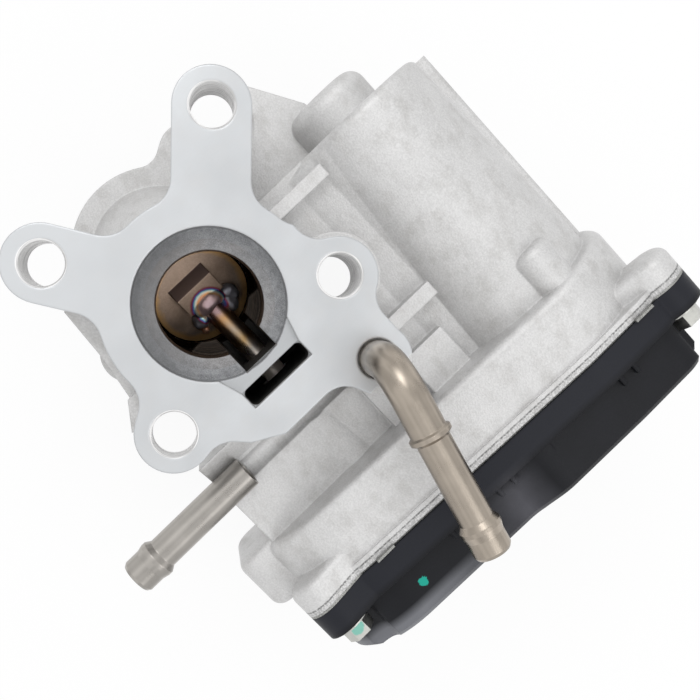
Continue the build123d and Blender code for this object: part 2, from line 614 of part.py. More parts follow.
def bearing_balls():
    balls = []
    for i in range(BEARING_BALLS):
        y, z = around(SHAFT_AT, BALL_TRACK, 360 / BEARING_BALLS * i)
        balls.append(Pos(BEARING_X + BEARING_WIDTH / 2, y, z) * Sphere(BALL_RADIUS))
    return Compound(children=balls)


def involute(base, radius):
    angle = acos(min(1.0, base / radius))
    return tan(angle) - angle


def gear_outline(teeth, module, tooth_angle, steps):
    """Spur gear outline, with one tooth centred on the given angle in degrees."""
    pitch = module * teeth / 2
    base = pitch * cos(radians(PRESSURE_ANGLE))
    tip = pitch + 0.9 * module
    root = pitch - 1.15 * module
    half_tooth = pi / (2 * teeth) - BACKLASH / (4 * pitch)
    flank_start = max(base, root + 0.1)
    radii = [root] + [flank_start + (tip - flank_start) * i / steps for i in range(steps + 1)]
    points = []
    for tooth in range(teeth):
        centre = radians(tooth_angle) + 2 * pi * tooth / teeth
        flank = []
        for radius in radii:
            half = half_tooth + involute(base, pitch) - involute(base, max(radius, base))
            flank.append((radius, half))
        for radius, half in flank:
            points.append((radius * cos(centre - half), radius * sin(centre - half)))
        for radius, half in reversed(flank):
            points.append((radius * cos(centre + half), radius * sin(centre + half)))
    return Polygon(*points, align=None)


def sector_gear():
    """Moulded sector on the valve shaft, its hub open for the plate, magnets and yokes."""
    gear = gear_outline(SECTOR_TEETH, VALVE_MODULE, SECTOR_MESH, 2)
    reach = 2 * SECTOR_PITCH
    first = SECTOR_MESH - VALVE_TRAVEL - SECTOR_MARGIN
    last = SECTOR_MESH + SECTOR_MARGIN
    middle = (first + last) / 2
    wedge = Polygon((0, 0), around((0, 0), reach, first), around((0, 0), reach * 1.6, middle),
                    around((0, 0), reach, last), align=None)
    window_arc = SECTOR_PITCH - 5.5
    window = Circle(window_arc) - Circle(HUB_RADIUS + 2.5)
    inner_wedge = Polygon((0, 0), around((0, 0), reach, first + 14), around((0, 0), reach * 1.6, middle),
                          around((0, 0), reach, last - 14), align=None)
    toothed = (gear & wedge) + Circle(HUB_RADIUS)
    place = Pos(*SHAFT_AT)
    body = along_x(place * toothed, SECTOR_X, SECTOR_X + SECTOR_WIDTH)
    body -= along_x(place * (window & inner_wedge), SECTOR_X + 2.2, SECTOR_X + SECTOR_WIDTH + 1)
    body += rod_x(HUB_RADIUS, SECTOR_X, HUB_END_X, *SHAFT_AT)
    body += rod_x(SPRING_SPOOL_RADIUS, CASE_FLOOR_X + 1.0, SECTOR_X, *SHAFT_AT)
    body -= rod_x(SHAFT_RADIUS, CASE_FLOOR_X, SECTOR_X + 3, *SHAFT_AT)
    body -= rod_x(HUB_BORE_RADIUS, PLATE_X, HUB_END_X + 1, *SHAFT_AT)
    return body


def lever_plate():
    """Steel plate moulded into the sector hub and riveted on the shaft end."""
    plate = Circle(HUB_BORE_RADIUS) - Circle(SHAFT_STUB_RADIUS)
    return along_x(Pos(*SHAFT_AT) * plate, PLATE_X, PLATE_X + PLATE_THICKNESS)


def yoke_arc(side):
    ring = Circle(HUB_BORE_RADIUS) - Circle(YOKE_BORE_RADIUS)
    gap = Rectangle(30, 30).moved(Location((15 - 30 * side, 0))) + Rectangle(3.2, 30)
    return Pos(*SHAFT_AT) * (ring - gap)


def magnet_yokes():
    halves = [along_x(yoke_arc(side), YOKE_X, HUB_END_X - 0.2) for side in (0, 1)]
    return Compound(children=[half for arc in halves for half in arc.solids()])


def sensor_magnets():
    """Two magnets that close the gaps between the yokes."""
    magnets = []
    for side in (-1, 1):
        slot = Pos(0, side * (YOKE_BORE_RADIUS + HUB_BORE_RADIUS) / 2) * Rectangle(3.0, 1.3)
        magnets += along_x(Pos(*SHAFT_AT) * slot, YOKE_X, HUB_END_X - 0.6).solids()
    return Compound(children=magnets)


def return_spring():
    """Torsion spring round the spool behind the sector, that shuts the valve."""
    turns = 3.5
    coil = Helix(pitch=SPRING_LENGTH / turns, height=SPRING_LENGTH, radius=SPRING_RADIUS)
    wire = Plane(origin=coil @ 0, z_dir=coil % 0) * Circle(SPRING_WIRE_RADIUS)
    spring = sweep(wire, path=coil, is_frenet=True)
    return Pos(SPRING_X, 0, SHAFT_Z) * Rot(0, 90, 0) * spring


def gear_pin():
    return rod_x(GEAR_PIN_RADIUS, CASE_BACK_X - 2, PIN_END_X, *GEAR_AT)


def intermediate_gear():
    """Compound gear: small teeth drive the sector, the large wheel meets the motor pinion."""
    place = Pos(*GEAR_AT)
    pinion_phase = SECTOR_MESH + 180 + 180 / PINION_TEETH
    pinion = gear_outline(PINION_TEETH, VALVE_MODULE, pinion_phase, 3)
    wheel = gear_outline(WHEEL_TEETH, MOTOR_MODULE, MOTOR_MESH + 180, 1)
    body = along_x(place * pinion, SECTOR_X - 0.5, WHEEL_X)
    body += along_x(place * wheel, WHEEL_X, WHEEL_X + WHEEL_WIDTH)
    body += rod_x(PINION_PITCH - 1.4, CASE_FLOOR_X + 0.6, SECTOR_X, *GEAR_AT)
    web = Circle(WHEEL_PITCH - 4.0) - Circle(PINION_PITCH + 2.5)
    body -= along_x(place * web, WHEEL_X + WHEEL_WIDTH / 2 + 0.7, WHEEL_X + WHEEL_WIDTH + 1)
    hole_circle = (WHEEL_PITCH + PINION_PITCH) / 2 - 0.8
    for hole in PolarLocations(hole_circle, 6):
        body -= along_x(place * hole * Circle(3.6), WHEEL_X - 1, WHEEL_X + WHEEL_WIDTH + 1)
    body += rod_x(PINION_PITCH - 1.4, WHEEL_X + WHEEL_WIDTH, PIN_END_X - 3.2, *GEAR_AT)
    return body - rod_x(GEAR_PIN_RADIUS + RUNNING_FIT, CASE_BACK_X, PIN_END_X, *GEAR_AT)


def motor_can():
    can = rod_x(MOTOR_RADIUS, CAN_BACK_X, CAN_FRONT_X, *MOTOR_AT)
    can = fillet(can.edges().group_by(Axis.X)[0], 2.0)
    can -= rod_x(MOTOR_RADIUS - CAN_WALL, CAN_BACK_X + CAN_WALL, CAN_FRONT_X + 1, *MOTOR_AT)
    can += rod_x(REAR_BUSH_RADIUS + 2.6, CAN_BACK_X - 3.6, CAN_BACK_X + 0.5, *MOTOR_AT)
    return can - rod_x(REAR_BUSH_RADIUS, CAN_BACK_X - 2.6, CAN_BACK_X + 2, *MOTOR_AT)


def motor_magnets():
    """Two arc magnets bonded inside the can."""
    ring = Circle(MOTOR_RADIUS - CAN_WALL) - Circle(MAGNET_BORE_RADIUS)
    gaps = Pos(*MOTOR_AT) * (ring - Rectangle(4 * MOTOR_RADIUS, MAGNET_GAP))
    return along_x(gaps, CAN_BACK_X + 6, CAN_FRONT_X - 12)


def motor_plate():
    """Front plate of the motor with two ears for its screws."""
    outline = Pos(*MOTOR_AT) * Circle(MOTOR_RADIUS)
    for screw in MOTOR_SCREWS:
        outline += capsule(MOTOR_AT, screw, MOTOR_EAR_RADIUS)
    plate = along_x(outline, CASE_FLOOR_X, CASE_FLOOR_X + MOTOR_PLATE_THICKNESS)
    plate += rod_x(MOTOR_RADIUS, CAN_FRONT_X, CASE_FLOOR_X, *MOTOR_AT)
    hub_end = PLATE_HUB_END_X
    plate += rod_x(PLATE_HUB_RADIUS, CASE_FLOOR_X, hub_end, *MOTOR_AT)
    plate -= rod_x(FRONT_BUSH_RADIUS, CASE_FLOOR_X - 1, hub_end - 1, *MOTOR_AT)
    plate -= rod_x(ARMATURE_SHAFT_RADIUS + 0.4, CAN_FRONT_X - 1, hub_end + 1, *MOTOR_AT)
    for screw in MOTOR_SCREWS:
        plate -= rod_x(MOTOR_SCREW_RADIUS + 0.3, CASE_FLOOR_X - 1, hub_end, *screw)
    return plate


def motor_bush(radius, start, end):
    return ring_x(radius, ARMATURE_SHAFT_RADIUS + RUNNING_FIT, start, end, *MOTOR_AT)


def screw_x(seat_x, at, shank_radius, length, head_radius, head_height):
    """Hexagon screw with a flange, its head towards +X."""
    screw = rod_x(shank_radius, seat_x - length, seat_x + 0.1, *at)
    screw += rod_x(head_radius * 1.22, seat_x, seat_x + 1.0, *at)
    hexagon = Pos(*at) * RegularPolygon(head_radius, 6)
    return (screw + along_x(hexagon, seat_x + 1.0, seat_x + head_height)).solid()


def motor_screws():
    seat = CASE_FLOOR_X + MOTOR_PLATE_THICKNESS
    head = 1.7 * MOTOR_SCREW_RADIUS
    screws = [screw_x(seat, at, MOTOR_SCREW_RADIUS, MOTOR_SCREW_LENGTH, head, head) for at in MOTOR_SCREWS]
    return Compound(children=screws)


def cover_screws():
    head = 1.95 * COVER_SCREW_RADIUS
    screws = []
    for at in COVER_SCREWS:
        screws.append(screw_x(COVER_STEP_X, at, COVER_SCREW_RADIUS, COVER_SCREW_LENGTH, head, 1.2 * head))
    return Compound(children=screws)


def motor_shaft():
    return rod_x(ARMATURE_SHAFT_RADIUS, CAN_BACK_X - 2.2, WHEEL_X + WHEEL_WIDTH + 1.6, *MOTOR_AT)


def armature_core():
    """Laminated core with five slots for the windings."""
    outline = Circle(ARMATURE_RADIUS)
    for turn in range(0, 360, 72):
        slot = Pos(*around((0, 0), ARMATURE_RADIUS - 2.2, turn)) * Circle(SLOT_RADIUS)
        mouth = Rot(0, 0, turn) * Pos(ARMATURE_RADIUS, 0) * Rectangle(6, SLOT_MOUTH)
        outline -= slot + mouth
    outline -= Circle(ARMATURE_SHAFT_RADIUS)
    return along_x(Pos(*MOTOR_AT) * outline, CAN_BACK_X + ARMATURE_START, CAN_FRONT_X - ARMATURE_END)


def armature_windings():
    outer = ARMATURE_RADIUS - 1.2
    inner = ARMATURE_SHAFT_RADIUS + 1.5
    coils = []
    for start in (CAN_BACK_X + ARMATURE_START - COIL_LENGTH, CAN_FRONT_X - ARMATURE_END):
        coils.append(ring_x(outer, inner, start, start + COIL_LENGTH, *MOTOR_AT).solid())
    return Compound(children=coils)


def commutator():
    return ring_x(COMMUTATOR_RADIUS, ARMATURE_SHAFT_RADIUS, CAN_FRONT_X - 11, CAN_FRONT_X - 3, *MOTOR_AT)


def motor_brushes():
    """Two carbon brushes that lean on the commutator."""
    reach = COMMUTATOR_RADIUS + 0.2 + BRUSH_HEIGHT / 2
    brushes = []
    for side in (-1, 1):
        block = Pos(MOTOR_Y + side * reach, MOTOR_Z) * Rectangle(BRUSH_HEIGHT, BRUSH_WIDTH)
        brushes.append(along_x(block, CAN_FRONT_X - 8.5, CAN_FRONT_X).solid())
    return Compound(children=brushes)


def motor_pinion():
    outline = gear_outline(MOTOR_PINION_TEETH, MOTOR_MODULE, MOTOR_MESH + 180 / MOTOR_PINION_TEETH, 3)
    outline -= Circle(ARMATURE_SHAFT_RADIUS)
    return along_x(Pos(*MOTOR_AT) * outline, WHEEL_X - 0.8, WHEEL_X + WHEEL_WIDTH + 0.8)


def crest_z(y):
    """Height of the rim's upper edge between the valve end and the motor end."""
    low = VALVE_END_Z + VALVE_END_RADIUS
    high = MOTOR_END_AT[1] + MOTOR_END_RADIUS
    return low + (high - low) * (y - VALVE_END_Y) / (MOTOR_END_AT[0] - VALVE_END_Y)


def cover_gasket():
    """Flat gasket with two tabs that show above the joint."""
    gasket = rim_outline()
    for (y, z), radius in ((VALVE_END_AT, VALVE_END_RADIUS), (CORNER_AT, CORNER_RADIUS)):
        gasket += Pos(y, z + radius) * Rectangle(5.5, 4.0)
    gasket -= case_outline(-CASE_WALL)
    for screw in COVER_SCREWS:
        gasket -= Pos(*screw) * Circle(COVER_SCREW_RADIUS + 0.3)
    return along_x(gasket, GASKET_X, COVER_BACK_X)


def cover_cavity():
    """Room for the gears inside the cover, less the bosses that stay in it."""
    cavity = along_x(case_outline(-CASE_WALL), COVER_BACK_X, COVER_STEP_X - COVER_WALL)
    inside = offset(dome_outline(), -COVER_WALL, kind=Kind.ARC)
    cavity += along_x(inside, COVER_STEP_X - COVER_WALL - 0.1, COVER_END_X - COVER_WALL)
    for screw in COVER_SCREWS:
        cavity -= rod_x(COVER_EAR_RADIUS + 1.4, COVER_BACK_X - 1, COVER_END_X, *screw)
    cavity -= rod_x(GEAR_PIN_RADIUS + 2.4, PIN_END_X - 3.0, COVER_END_X, *GEAR_AT)
    return cavity - rod_x(SENSOR_TOWER_RADIUS + 2.5, SENSOR_TOWER_X, COVER_END_X, *SHAFT_AT)


def connector_shell():
    """Socket on the underside of the cover, open downwards."""
    place = Pos(CONNECTOR_X, CONNECTOR_Y)
    outside = RectangleRounded(CONNECTOR_THICKNESS, CONNECTOR_WIDTH, 2.5)
    mouth = Rectangle(CONNECTOR_THICKNESS - 2 * CONNECTOR_WALL, CONNECTOR_WIDTH - 2 * CONNECTOR_WALL)
    shell = along_z(place * outside, CONNECTOR_END_Z, CONNECTOR_TOP_Z)
    return shell - along_z(place * mouth, CONNECTOR_END_Z - 1, CONNECTOR_END_Z + SOCKET_DEPTH)


def gear_cover():
    """Moulded cover: flange band, domed cap, screw pockets, clips, pin boss, sensor tower and connector."""
    cover = along_x(rim_outline(RIM_WIDTH), COVER_BACK_X, COVER_STEP_X)
    dome = along_x(dome_outline(), COVER_STEP_X, COVER_END_X)
    cover += chamfer(dome.edges().group_by(Axis.X)[-1], DOME_CHAMFER)
    for y in (6, 21, 38, 60):
        for side in (-1, 1):
            clip = Pos(y + side * CLIP_WIDTH, crest_z(y) - 2.6) * Rectangle(CLIP_WIDTH / 2, 5.2)
            cover += along_x(clip, COVER_STEP_X, COVER_STEP_X + 2.5)
    cover += connector_shell()
    for screw in COVER_SCREWS:
        cover -= rod_x(COVER_EAR_RADIUS - 0.6, COVER_STEP_X, COVER_END_X + 1, *screw)
        cover -= rod_x(COVER_SCREW_RADIUS + 0.3, COVER_BACK_X - 1, COVER_STEP_X + 1, *screw)
    cover -= cover_cavity()
    cover -= rod_x(GEAR_PIN_RADIUS, PIN_END_X - 4, PIN_END_X, *GEAR_AT)
    cover -= rod_x(SENSOR_TOWER_RADIUS, SENSOR_TOWER_X - 1, COVER_END_X - COVER_WALL, *SHAFT_AT)
    return cover - connector_pins()


def sensor_stem():
    """Hall sensor holder that reaches from the cover into the hub."""
    stem = rod_x(SENSOR_TOWER_RADIUS, SENSOR_TOWER_X, COVER_END_X - COVER_WALL, *SHAFT_AT)
    stem += rod_x(SENSOR_STEM_RADIUS, YOKE_X + 1.0, SENSOR_TOWER_X, *SHAFT_AT)
    return stem


def connector_pins():
    pins = []
    for i in range(-2, 3):
        place = Pos(CONNECTOR_X, CONNECTOR_Y + i * PIN_PITCH, CONNECTOR_END_Z + 8.5)
        pins.append(place * Box(0.8, 1.5, SOCKET_DEPTH - 1))
    return Compound(children=pins)


def barb_points(length):
    """Outline points (radius, height) of a hose end, from the tube up to its tip."""
    start = length - BARB_LENGTH
    return [
        (PIPE_RADIUS, start), (PIPE_RADIUS + 0.9, start + 1.4), (PIPE_RADIUS + 0.9, start + 2.4),
        (PIPE_RADIUS + 0.5, start + 4.0), (PIPE_RADIUS + 0.5, length - 0.8), (PIPE_RADIUS, length),
        (PIPE_RADIUS - PIPE_WALL, length),
    ]


def pipe_end(length, bead):
    """Hose nozzle along +Z: sleeve, locating bead, hose length and end barb, with its bore."""
    start = [
        (PIPE_RADIUS - PIPE_WALL, 0), (SLEEVE_RADIUS, 0), (SLEEVE_RADIUS, bead - 0.8),
        (SLEEVE_RADIUS + 0.7, bead - 0.3), (SLEEVE_RADIUS + 0.7, bead + 0.6), (PIPE_RADIUS, bead + 1.4),
    ]
    return revolve(Plane.XZ * Polygon(*start, *barb_points(length), align=None), axis=Axis.Z)


def upper_pipe():
    """Pipe from the flange: riser, bend and hose nozzle."""
    ring = Circle(SLEEVE_RADIUS) - Circle(PIPE_RADIUS - PIPE_WALL)
    rise = UPPER_PIPE_HEIGHT - PIPE_BEND
    riser = along_z(ring, -PIPE_SEAT, rise)
    bend_axis = Axis((PIPE_BEND, 0, rise), (0, 1, 0))
    bend = revolve(Plane.XY.offset(rise) * ring, axis=bend_axis, revolution_arc=90)
    nozzle = pipe_end(UPPER_PIPE_REACH - PIPE_BEND, SLEEVE_LENGTH)
    nozzle = Pos(PIPE_BEND, 0, UPPER_PIPE_HEIGHT) * Rot(0, 90, 0) * nozzle
    return Pos(CHANNEL_X, UPPER_PIPE_Y) * Rot(0, 0, UPPER_PIPE_ANGLE) * (riser + bend + nozzle)


def lower_pipe():
    """Straight pipe in the gallery's boss."""
    seat = [(PIPE_RADIUS - PIPE_WALL, -PIPE_SEAT), (PIPE_RADIUS, -PIPE_SEAT)]
    outline = Polygon(*seat, *barb_points(LOWER_PIPE_START_Y - LOWER_PIPE_END_Y), align=None)
    pipe = revolve(Plane.XZ * outline, axis=Axis.Z)
    return Pos(CHANNEL_X, LOWER_PIPE_START_Y, CHANNEL_Z) * Rot(90, 0, 0) * pipe


def write(name, shape):
    """Write one named sub-part, as one solid or as a group of separate solids."""
    solids = shape.solids()
    shape = solids[0] if len(solids) == 1 else Compound(children=solids)
    shape.label = name
    export_step(shape, f"parts/{name}.step")


SUBPARTS = {
    "valve_housing": valve_housing(),
    "port_nozzle": port_nozzle(),
    "valve_disc": valve_disc(),
    "disc_seal_ring": seal_ring(),
    "shaft_weld": weld_bead(),
    "valve_shaft": valve_shaft(),
    "shaft_bush": shaft_bush(),
    "shaft_seal": shaft_seal(),
    "bearing_outer_race": bearing_race(BEARING_RADIUS, BALL_TRACK + 0.6, BALL_TRACK),
    "bearing_inner_race": bearing_race(BALL_TRACK - 0.6, SHAFT_RADIUS, BALL_TRACK),
    "bearing_balls": bearing_balls(),
    "sector_gear": sector_gear(),
    "lever_plate": lever_plate(),
    "magnet_yokes": magnet_yokes(),
    "sensor_magnets": sensor_magnets(),
    "return_spring": return_spring(),
    "gear_pin": gear_pin(),
    "intermediate_gear": intermediate_gear(),
    "motor_can": motor_can(),
    "motor_magnets": motor_magnets(),
    "motor_plate": motor_plate(),
    "motor_rear_bush": motor_bush(REAR_BUSH_RADIUS, CAN_BACK_X - 2.6, CAN_BACK_X + 1.2),
    "motor_front_bush": motor_bush(FRONT_BUSH_RADIUS, CASE_FLOOR_X - 1, PLATE_HUB_END_X - 1),
    "motor_screws": motor_screws(),
    "motor_shaft": motor_shaft(),
    "armature_core": armature_core(),
    "armature_windings": armature_windings(),
    "commutator": commutator(),
    "motor_brushes": motor_brushes(),
    "motor_pinion": motor_pinion(),
    "cover_gasket": cover_gasket(),
    "gear_cover": gear_cover(),
    "cover_screws": cover_screws(),
    "sensor_stem": sensor_stem(),
    "connector_pins": connector_pins(),
    "upper_coolant_pipe": upper_pipe(),
    "lower_coolant_pipe": lower_pipe(),
}

os.makedirs("parts", exist_ok=True)
for subpart_name, subpart in SUBPARTS.items():
    write(subpart_name, subpart)
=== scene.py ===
"""Looks of a motor driven EGR valve: cast housing, heat tinted butterfly, coolant pipes and gear cover."""
from math import pi, radians

import bmesh
import bpy
from mathutils import Euler, Matrix, Vector, noise


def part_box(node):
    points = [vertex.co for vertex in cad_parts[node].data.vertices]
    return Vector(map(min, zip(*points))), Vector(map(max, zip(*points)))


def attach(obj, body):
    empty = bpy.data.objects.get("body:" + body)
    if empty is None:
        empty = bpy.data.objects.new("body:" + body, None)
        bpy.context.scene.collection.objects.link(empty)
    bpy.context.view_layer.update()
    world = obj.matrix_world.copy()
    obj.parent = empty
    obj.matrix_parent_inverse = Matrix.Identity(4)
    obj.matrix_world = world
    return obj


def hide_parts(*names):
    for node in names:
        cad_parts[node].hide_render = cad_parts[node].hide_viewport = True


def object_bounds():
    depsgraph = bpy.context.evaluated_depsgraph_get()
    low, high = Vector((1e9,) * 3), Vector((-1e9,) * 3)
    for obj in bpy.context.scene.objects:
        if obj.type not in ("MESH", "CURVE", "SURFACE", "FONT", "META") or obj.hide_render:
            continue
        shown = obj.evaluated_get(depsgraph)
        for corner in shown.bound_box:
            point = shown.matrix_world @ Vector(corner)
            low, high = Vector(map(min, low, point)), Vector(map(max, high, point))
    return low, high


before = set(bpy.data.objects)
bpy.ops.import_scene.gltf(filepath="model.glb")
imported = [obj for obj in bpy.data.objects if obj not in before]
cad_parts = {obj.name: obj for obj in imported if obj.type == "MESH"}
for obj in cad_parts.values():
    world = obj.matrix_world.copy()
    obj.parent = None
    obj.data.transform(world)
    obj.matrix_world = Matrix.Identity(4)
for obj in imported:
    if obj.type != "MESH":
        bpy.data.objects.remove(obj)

bl_info = {
    "name": "EGR valve looks",
    "version": (1, 0, 0),
    "blender": (4, 5, 0),
    "location": "View3D > Sidebar > EGR valve",
    "description": "Finishes and studio for a motor driven EGR valve",
    "category": "Object",
}

MM = 0.001
CAD_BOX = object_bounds()

# Places on the part in mm, read from the frame
SHAFT_LOW, SHAFT_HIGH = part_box("valve_shaft")
WELD_LOW, WELD_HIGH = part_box("shaft_weld")
SHAFT_Z = (SHAFT_LOW[2] + SHAFT_HIGH[2]) / 2 / MM
SHAFT_RADIUS = (SHAFT_HIGH[2] - SHAFT_LOW[2]) / 2 / MM
WELD_START_X = WELD_LOW[0] / MM
WELD_END_X = WELD_HIGH[0] / MM


class Value:
    """A number that changes over a surface, so that shader sums read as plain sums."""

    def __init__(self, tree, socket):
        self.tree = tree
        self.socket = socket

    def math(self, operation, *others, clamp=False):
        node = self.tree.nodes.new("ShaderNodeMath")
        node.operation = operation
        node.use_clamp = clamp
        for slot, value in zip(node.inputs, (self, *others)):
            plug(self.tree, slot, value)
        return Value(self.tree, node.outputs[0])

    def __add__(self, other):
        return self.math("ADD", other)

    def __sub__(self, other):
        return self.math("SUBTRACT", other)

    def __mul__(self, other):
        return self.math("MULTIPLY", other)

    def __truediv__(self, other):
        return self.math("DIVIDE", other)

    def __rsub__(self, other):
        return (self * -1) + other

    __radd__ = __add__
    __rmul__ = __mul__

    def clamped(self):
        return self.math("ADD", 0.0, clamp=True)

    def above(self, edge, soft):
        """Goes from 0 to 1 as the number passes an edge."""
        return self.math("SUBTRACT", edge - soft / 2).math("DIVIDE", soft, clamp=True)

    def below(self, edge, soft):
        """Goes from 1 to 0 as the number passes an edge."""
        return 1 - self.above(edge, soft)

    def between(self, start, end):
        """One between two edges, each given with its softness."""
        return self.above(*start) * self.below(*end)


def plug(tree, socket, value):
    """Gives a socket a value or a link."""
    if isinstance(value, Value):
        tree.links.new(value.socket, socket)
    elif isinstance(value, bpy.types.NodeSocket):
        tree.links.new(value, socket)
    else:
        socket.default_value = value


class Nodes:
    """A node tree whose nodes are made by kind, settings and sockets."""

    def __init__(self, owner):
        owner.use_nodes = True
        self.tree = owner.node_tree
        self.tree.nodes.clear()

    def node(self, kind, settings=None, sockets=None):
        made = self.tree.nodes.new("ShaderNode" + kind)
        for key, value in (settings or {}).items():
            if key == "stops":
                set_stops(made.color_ramp, value)
            else:
                setattr(made, key, value)
        for key, value in (sockets or {}).items():
            plug(self.tree, made.inputs[key], value)
        return made

    def value(self, kind, settings, sockets, output):
        return Value(self.tree, self.node(kind, settings, sockets).outputs[output])

    def seen(self):
        """One where the camera, a mirror or clear glass looks at something."""
        path = self.node("LightPath")
        seen = Value(self.tree, path.outputs["Is Camera Ray"])
        for name in ("Is Glossy Ray", "Is Transmission Ray"):
            seen = seen.math("MAXIMUM", path.outputs[name])
        return seen


class Finish(Nodes):
    """A material on the part. Its places and sizes are in mm."""

    BEVEL_SAMPLES = 6
    EDGE_GAIN = 4.0

    def __init__(self, name):
        self.material = bpy.data.materials.new(name)
        super().__init__(self.material)
        metres = self.node("TexCoord").outputs["Object"]
        scaled = self.node("VectorMath", {"operation": "SCALE"}, {0: metres, "Scale": 1 / MM})
        self.place = scaled.outputs[0]
        split = self.node("SeparateXYZ", None, {0: self.place})
        self.x, self.y, self.z = (Value(self.tree, out) for out in split.outputs)

    def noise(self, size, detail=2.0, roughness=0.5, place=None):
        """Noise with grains of a size, from 0 to 1."""
        return self.value("TexNoise", None, {
            "Vector": place or self.place, "Scale": 1 / size, "Detail": detail, "Roughness": roughness,
        }, "Fac")

    def stretched(self, scale, turn=(0, 0, 0)):
        """Places stretched and turned, for grain that runs one way."""
        return self.node("Mapping", None, {
            "Vector": self.place, "Scale": scale, "Rotation": turn,
        }).outputs[0]

    def mix(self, factor, first, second):
        return self.node("Mix", {"data_type": "RGBA"}, {0: factor, 6: first, 7: second}).outputs[2]

    def shaded(self, factor, colour, low, high):
        """One colour that goes from a low to a high shade of itself."""
        return self.mix(factor, shade(colour, low), shade(colour, high))

    def layers(self, colour, *steps):
        """Lays colours over the first one, each given with where it shows."""
        for factor, over in steps:
            colour = self.mix(factor, colour, over)
        return colour

    def ramp(self, value, stops):
        return self.node("ValToRGB", {"stops": stops}, {0: value}).outputs["Color"]

    def distance(self, point):
        return self.value("VectorMath", {"operation": "DISTANCE"}, {0: self.place, 1: point}, "Value")

    def radius(self, x=0.0, y=0.0):
        """Distance from an upright line."""
        flat = self.node("CombineXYZ", None, {"X": self.x - x, "Y": self.y - y, "Z": 0.0}).outputs[0]
        return self.value("VectorMath", {"operation": "LENGTH"}, {0: flat}, "Value")

    def dot(self, first, second):
        return self.value("VectorMath", {"operation": "DOT_PRODUCT"}, {0: first, 1: second}, "Value")

    def own_normal(self, kind):
        """The surface's direction in the piece's own axes, so that nothing slides when the piece turns."""
        normal = self.node("NewGeometry").outputs[kind]
        settings = {"vector_type": "NORMAL", "convert_from": "WORLD", "convert_to": "OBJECT"}
        return self.node("VectorTransform", settings, {0: normal}).outputs[0]

    def facing(self, direction):
        """How far the surface faces a direction, from -1 to 1."""
        return self.dot(self.own_normal("True Normal"), direction)

    def rounded(self, radius):
        """The surface's direction with its sharp edges rounded by a radius."""
        return self.node("Bevel", {"samples": self.BEVEL_SAMPLES}, {"Radius": radius * MM}).outputs[0]

    def edges(self, radius):
        """One on sharp edges, zero on flats. The finishes make sharp edges lighter, partly edge wear and
        partly painted highlight.
        """
        turned = self.dot(self.rounded(radius), self.node("NewGeometry").outputs["Normal"])
        return (1 - turned).math("MULTIPLY", self.EDGE_GAIN, clamp=True)

    def bump(self, height, depth, normal):
        return self.node("Bump", None, {
            "Height": height, "Strength": 1.0, "Distance": depth * MM, "Normal": normal,
        }).outputs[0]

    def surface(self, colour, roughness, normal, metallic=0.0, specular=0.5):
        """Ends the material and returns it."""
        shader = self.node("BsdfPrincipled", None, {
            "Base Color": colour, "Roughness": roughness.clamped(), "Metallic": metallic, "Normal": normal,
            "Specular IOR Level": specular,
        })
        self.node("OutputMaterial", None, {"Surface": shader.outputs[0]})
        return self.material


def set_stops(ramp, stops):
    """Gives a colour ramp its stops, as pairs of place and colour."""
    while len(ramp.elements) < len(stops):
        ramp.elements.new(1.0)
    for element, (place, colour) in zip(ramp.elements, stops):
        element.position = place
        element.color = shade(colour)


def shade(colour, factor=1.0):
    """A colour made lighter or darker, as four numbers."""
    return tuple(min(1.0, channel * factor) for channel in colour[:3]) + (1.0,)


def dress(material, *nodes):
    """Puts a finish on CAD nodes."""
    for node in nodes:
        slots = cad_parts[node].material_slots
        if slots:
            slots[0].material = material
        else:
            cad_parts[node].data.materials.append(material)


def colour_prop(name, description, default):
    return bpy.props.FloatVectorProperty(
        name=name, description=description, subtype="COLOR", size=3, min=0.0, max=1.0, default=default
    )


def length_prop(name, description, default):
    """A length whose default is given in mm."""
    return bpy.props.FloatProperty(
        name=name, description=description, unit="LENGTH", subtype="DISTANCE", min=0.0, default=default * MM
    )


class CastingLook(bpy.types.PropertyGroup):
    cast: colour_prop("Cast", "Colour of the cast skin", (0.66, 0.657, 0.655))
    machined: colour_prop("Machined", "Colour of the milled flange face", (0.585, 0.60, 0.615))
    ledge: colour_prop("Port ledge", "Colour of the sooty ledge in the port", (0.31, 0.315, 0.325))
    bore: colour_prop("Bore", "Colour of the heated bore under the ledge", (0.10, 0.068, 0.046))
    # Painted shade: the slot and well round the shaft are coloured near black for the shade in them, and
    # the deep bore takes the same colour.
    painted_hollow_shade: colour_prop("Hollow", "Colour of the sooty slot and well round the shaft", (0.03, 0.028, 0.026))
    grain: length_prop("Grain", "Size of the grain of the casting", 0.45)
    edge: length_prop("Edge", "Radius of the cast edges", 0.7)


class HeatLook(bpy.types.PropertyGroup):
    disc: colour_prop("Disc", "Straw brown of the disc", (0.41, 0.305, 0.235))
    # Painted shade: this colour darkens the back face of the disc's boss.
    boss: colour_prop("Boss", "Darker brown of the disc's boss", (0.17, 0.12, 0.105))
    ring: colour_prop("Ring", "Brown of the nozzle ring", (0.06, 0.035, 0.02))
    steel: colour_prop("Steel", "Plain steel of the shaft", (0.52, 0.47, 0.42))
    bead: length_prop("Bead", "Thickness of the weld bead", 4.4)


class PipeLook(bpy.types.PropertyGroup):
    upper: colour_prop("Upper pipe", "Colour of the upper pipe", (0.37, 0.325, 0.275))
    lower: colour_prop("Lower pipe", "Colour of the lower pipe", (0.38, 0.36, 0.335))


class CoverLook(bpy.types.PropertyGroup):
    plastic: colour_prop("Plastic", "Colour of the moulded cover", (0.006, 0.0065, 0.009))
    dot: colour_prop("Paint dot", "Colour of the inspection dot", (0.01, 0.34, 0.26))
    dot_radius: length_prop("Dot radius", "Radius of the inspection dot", 1.2)


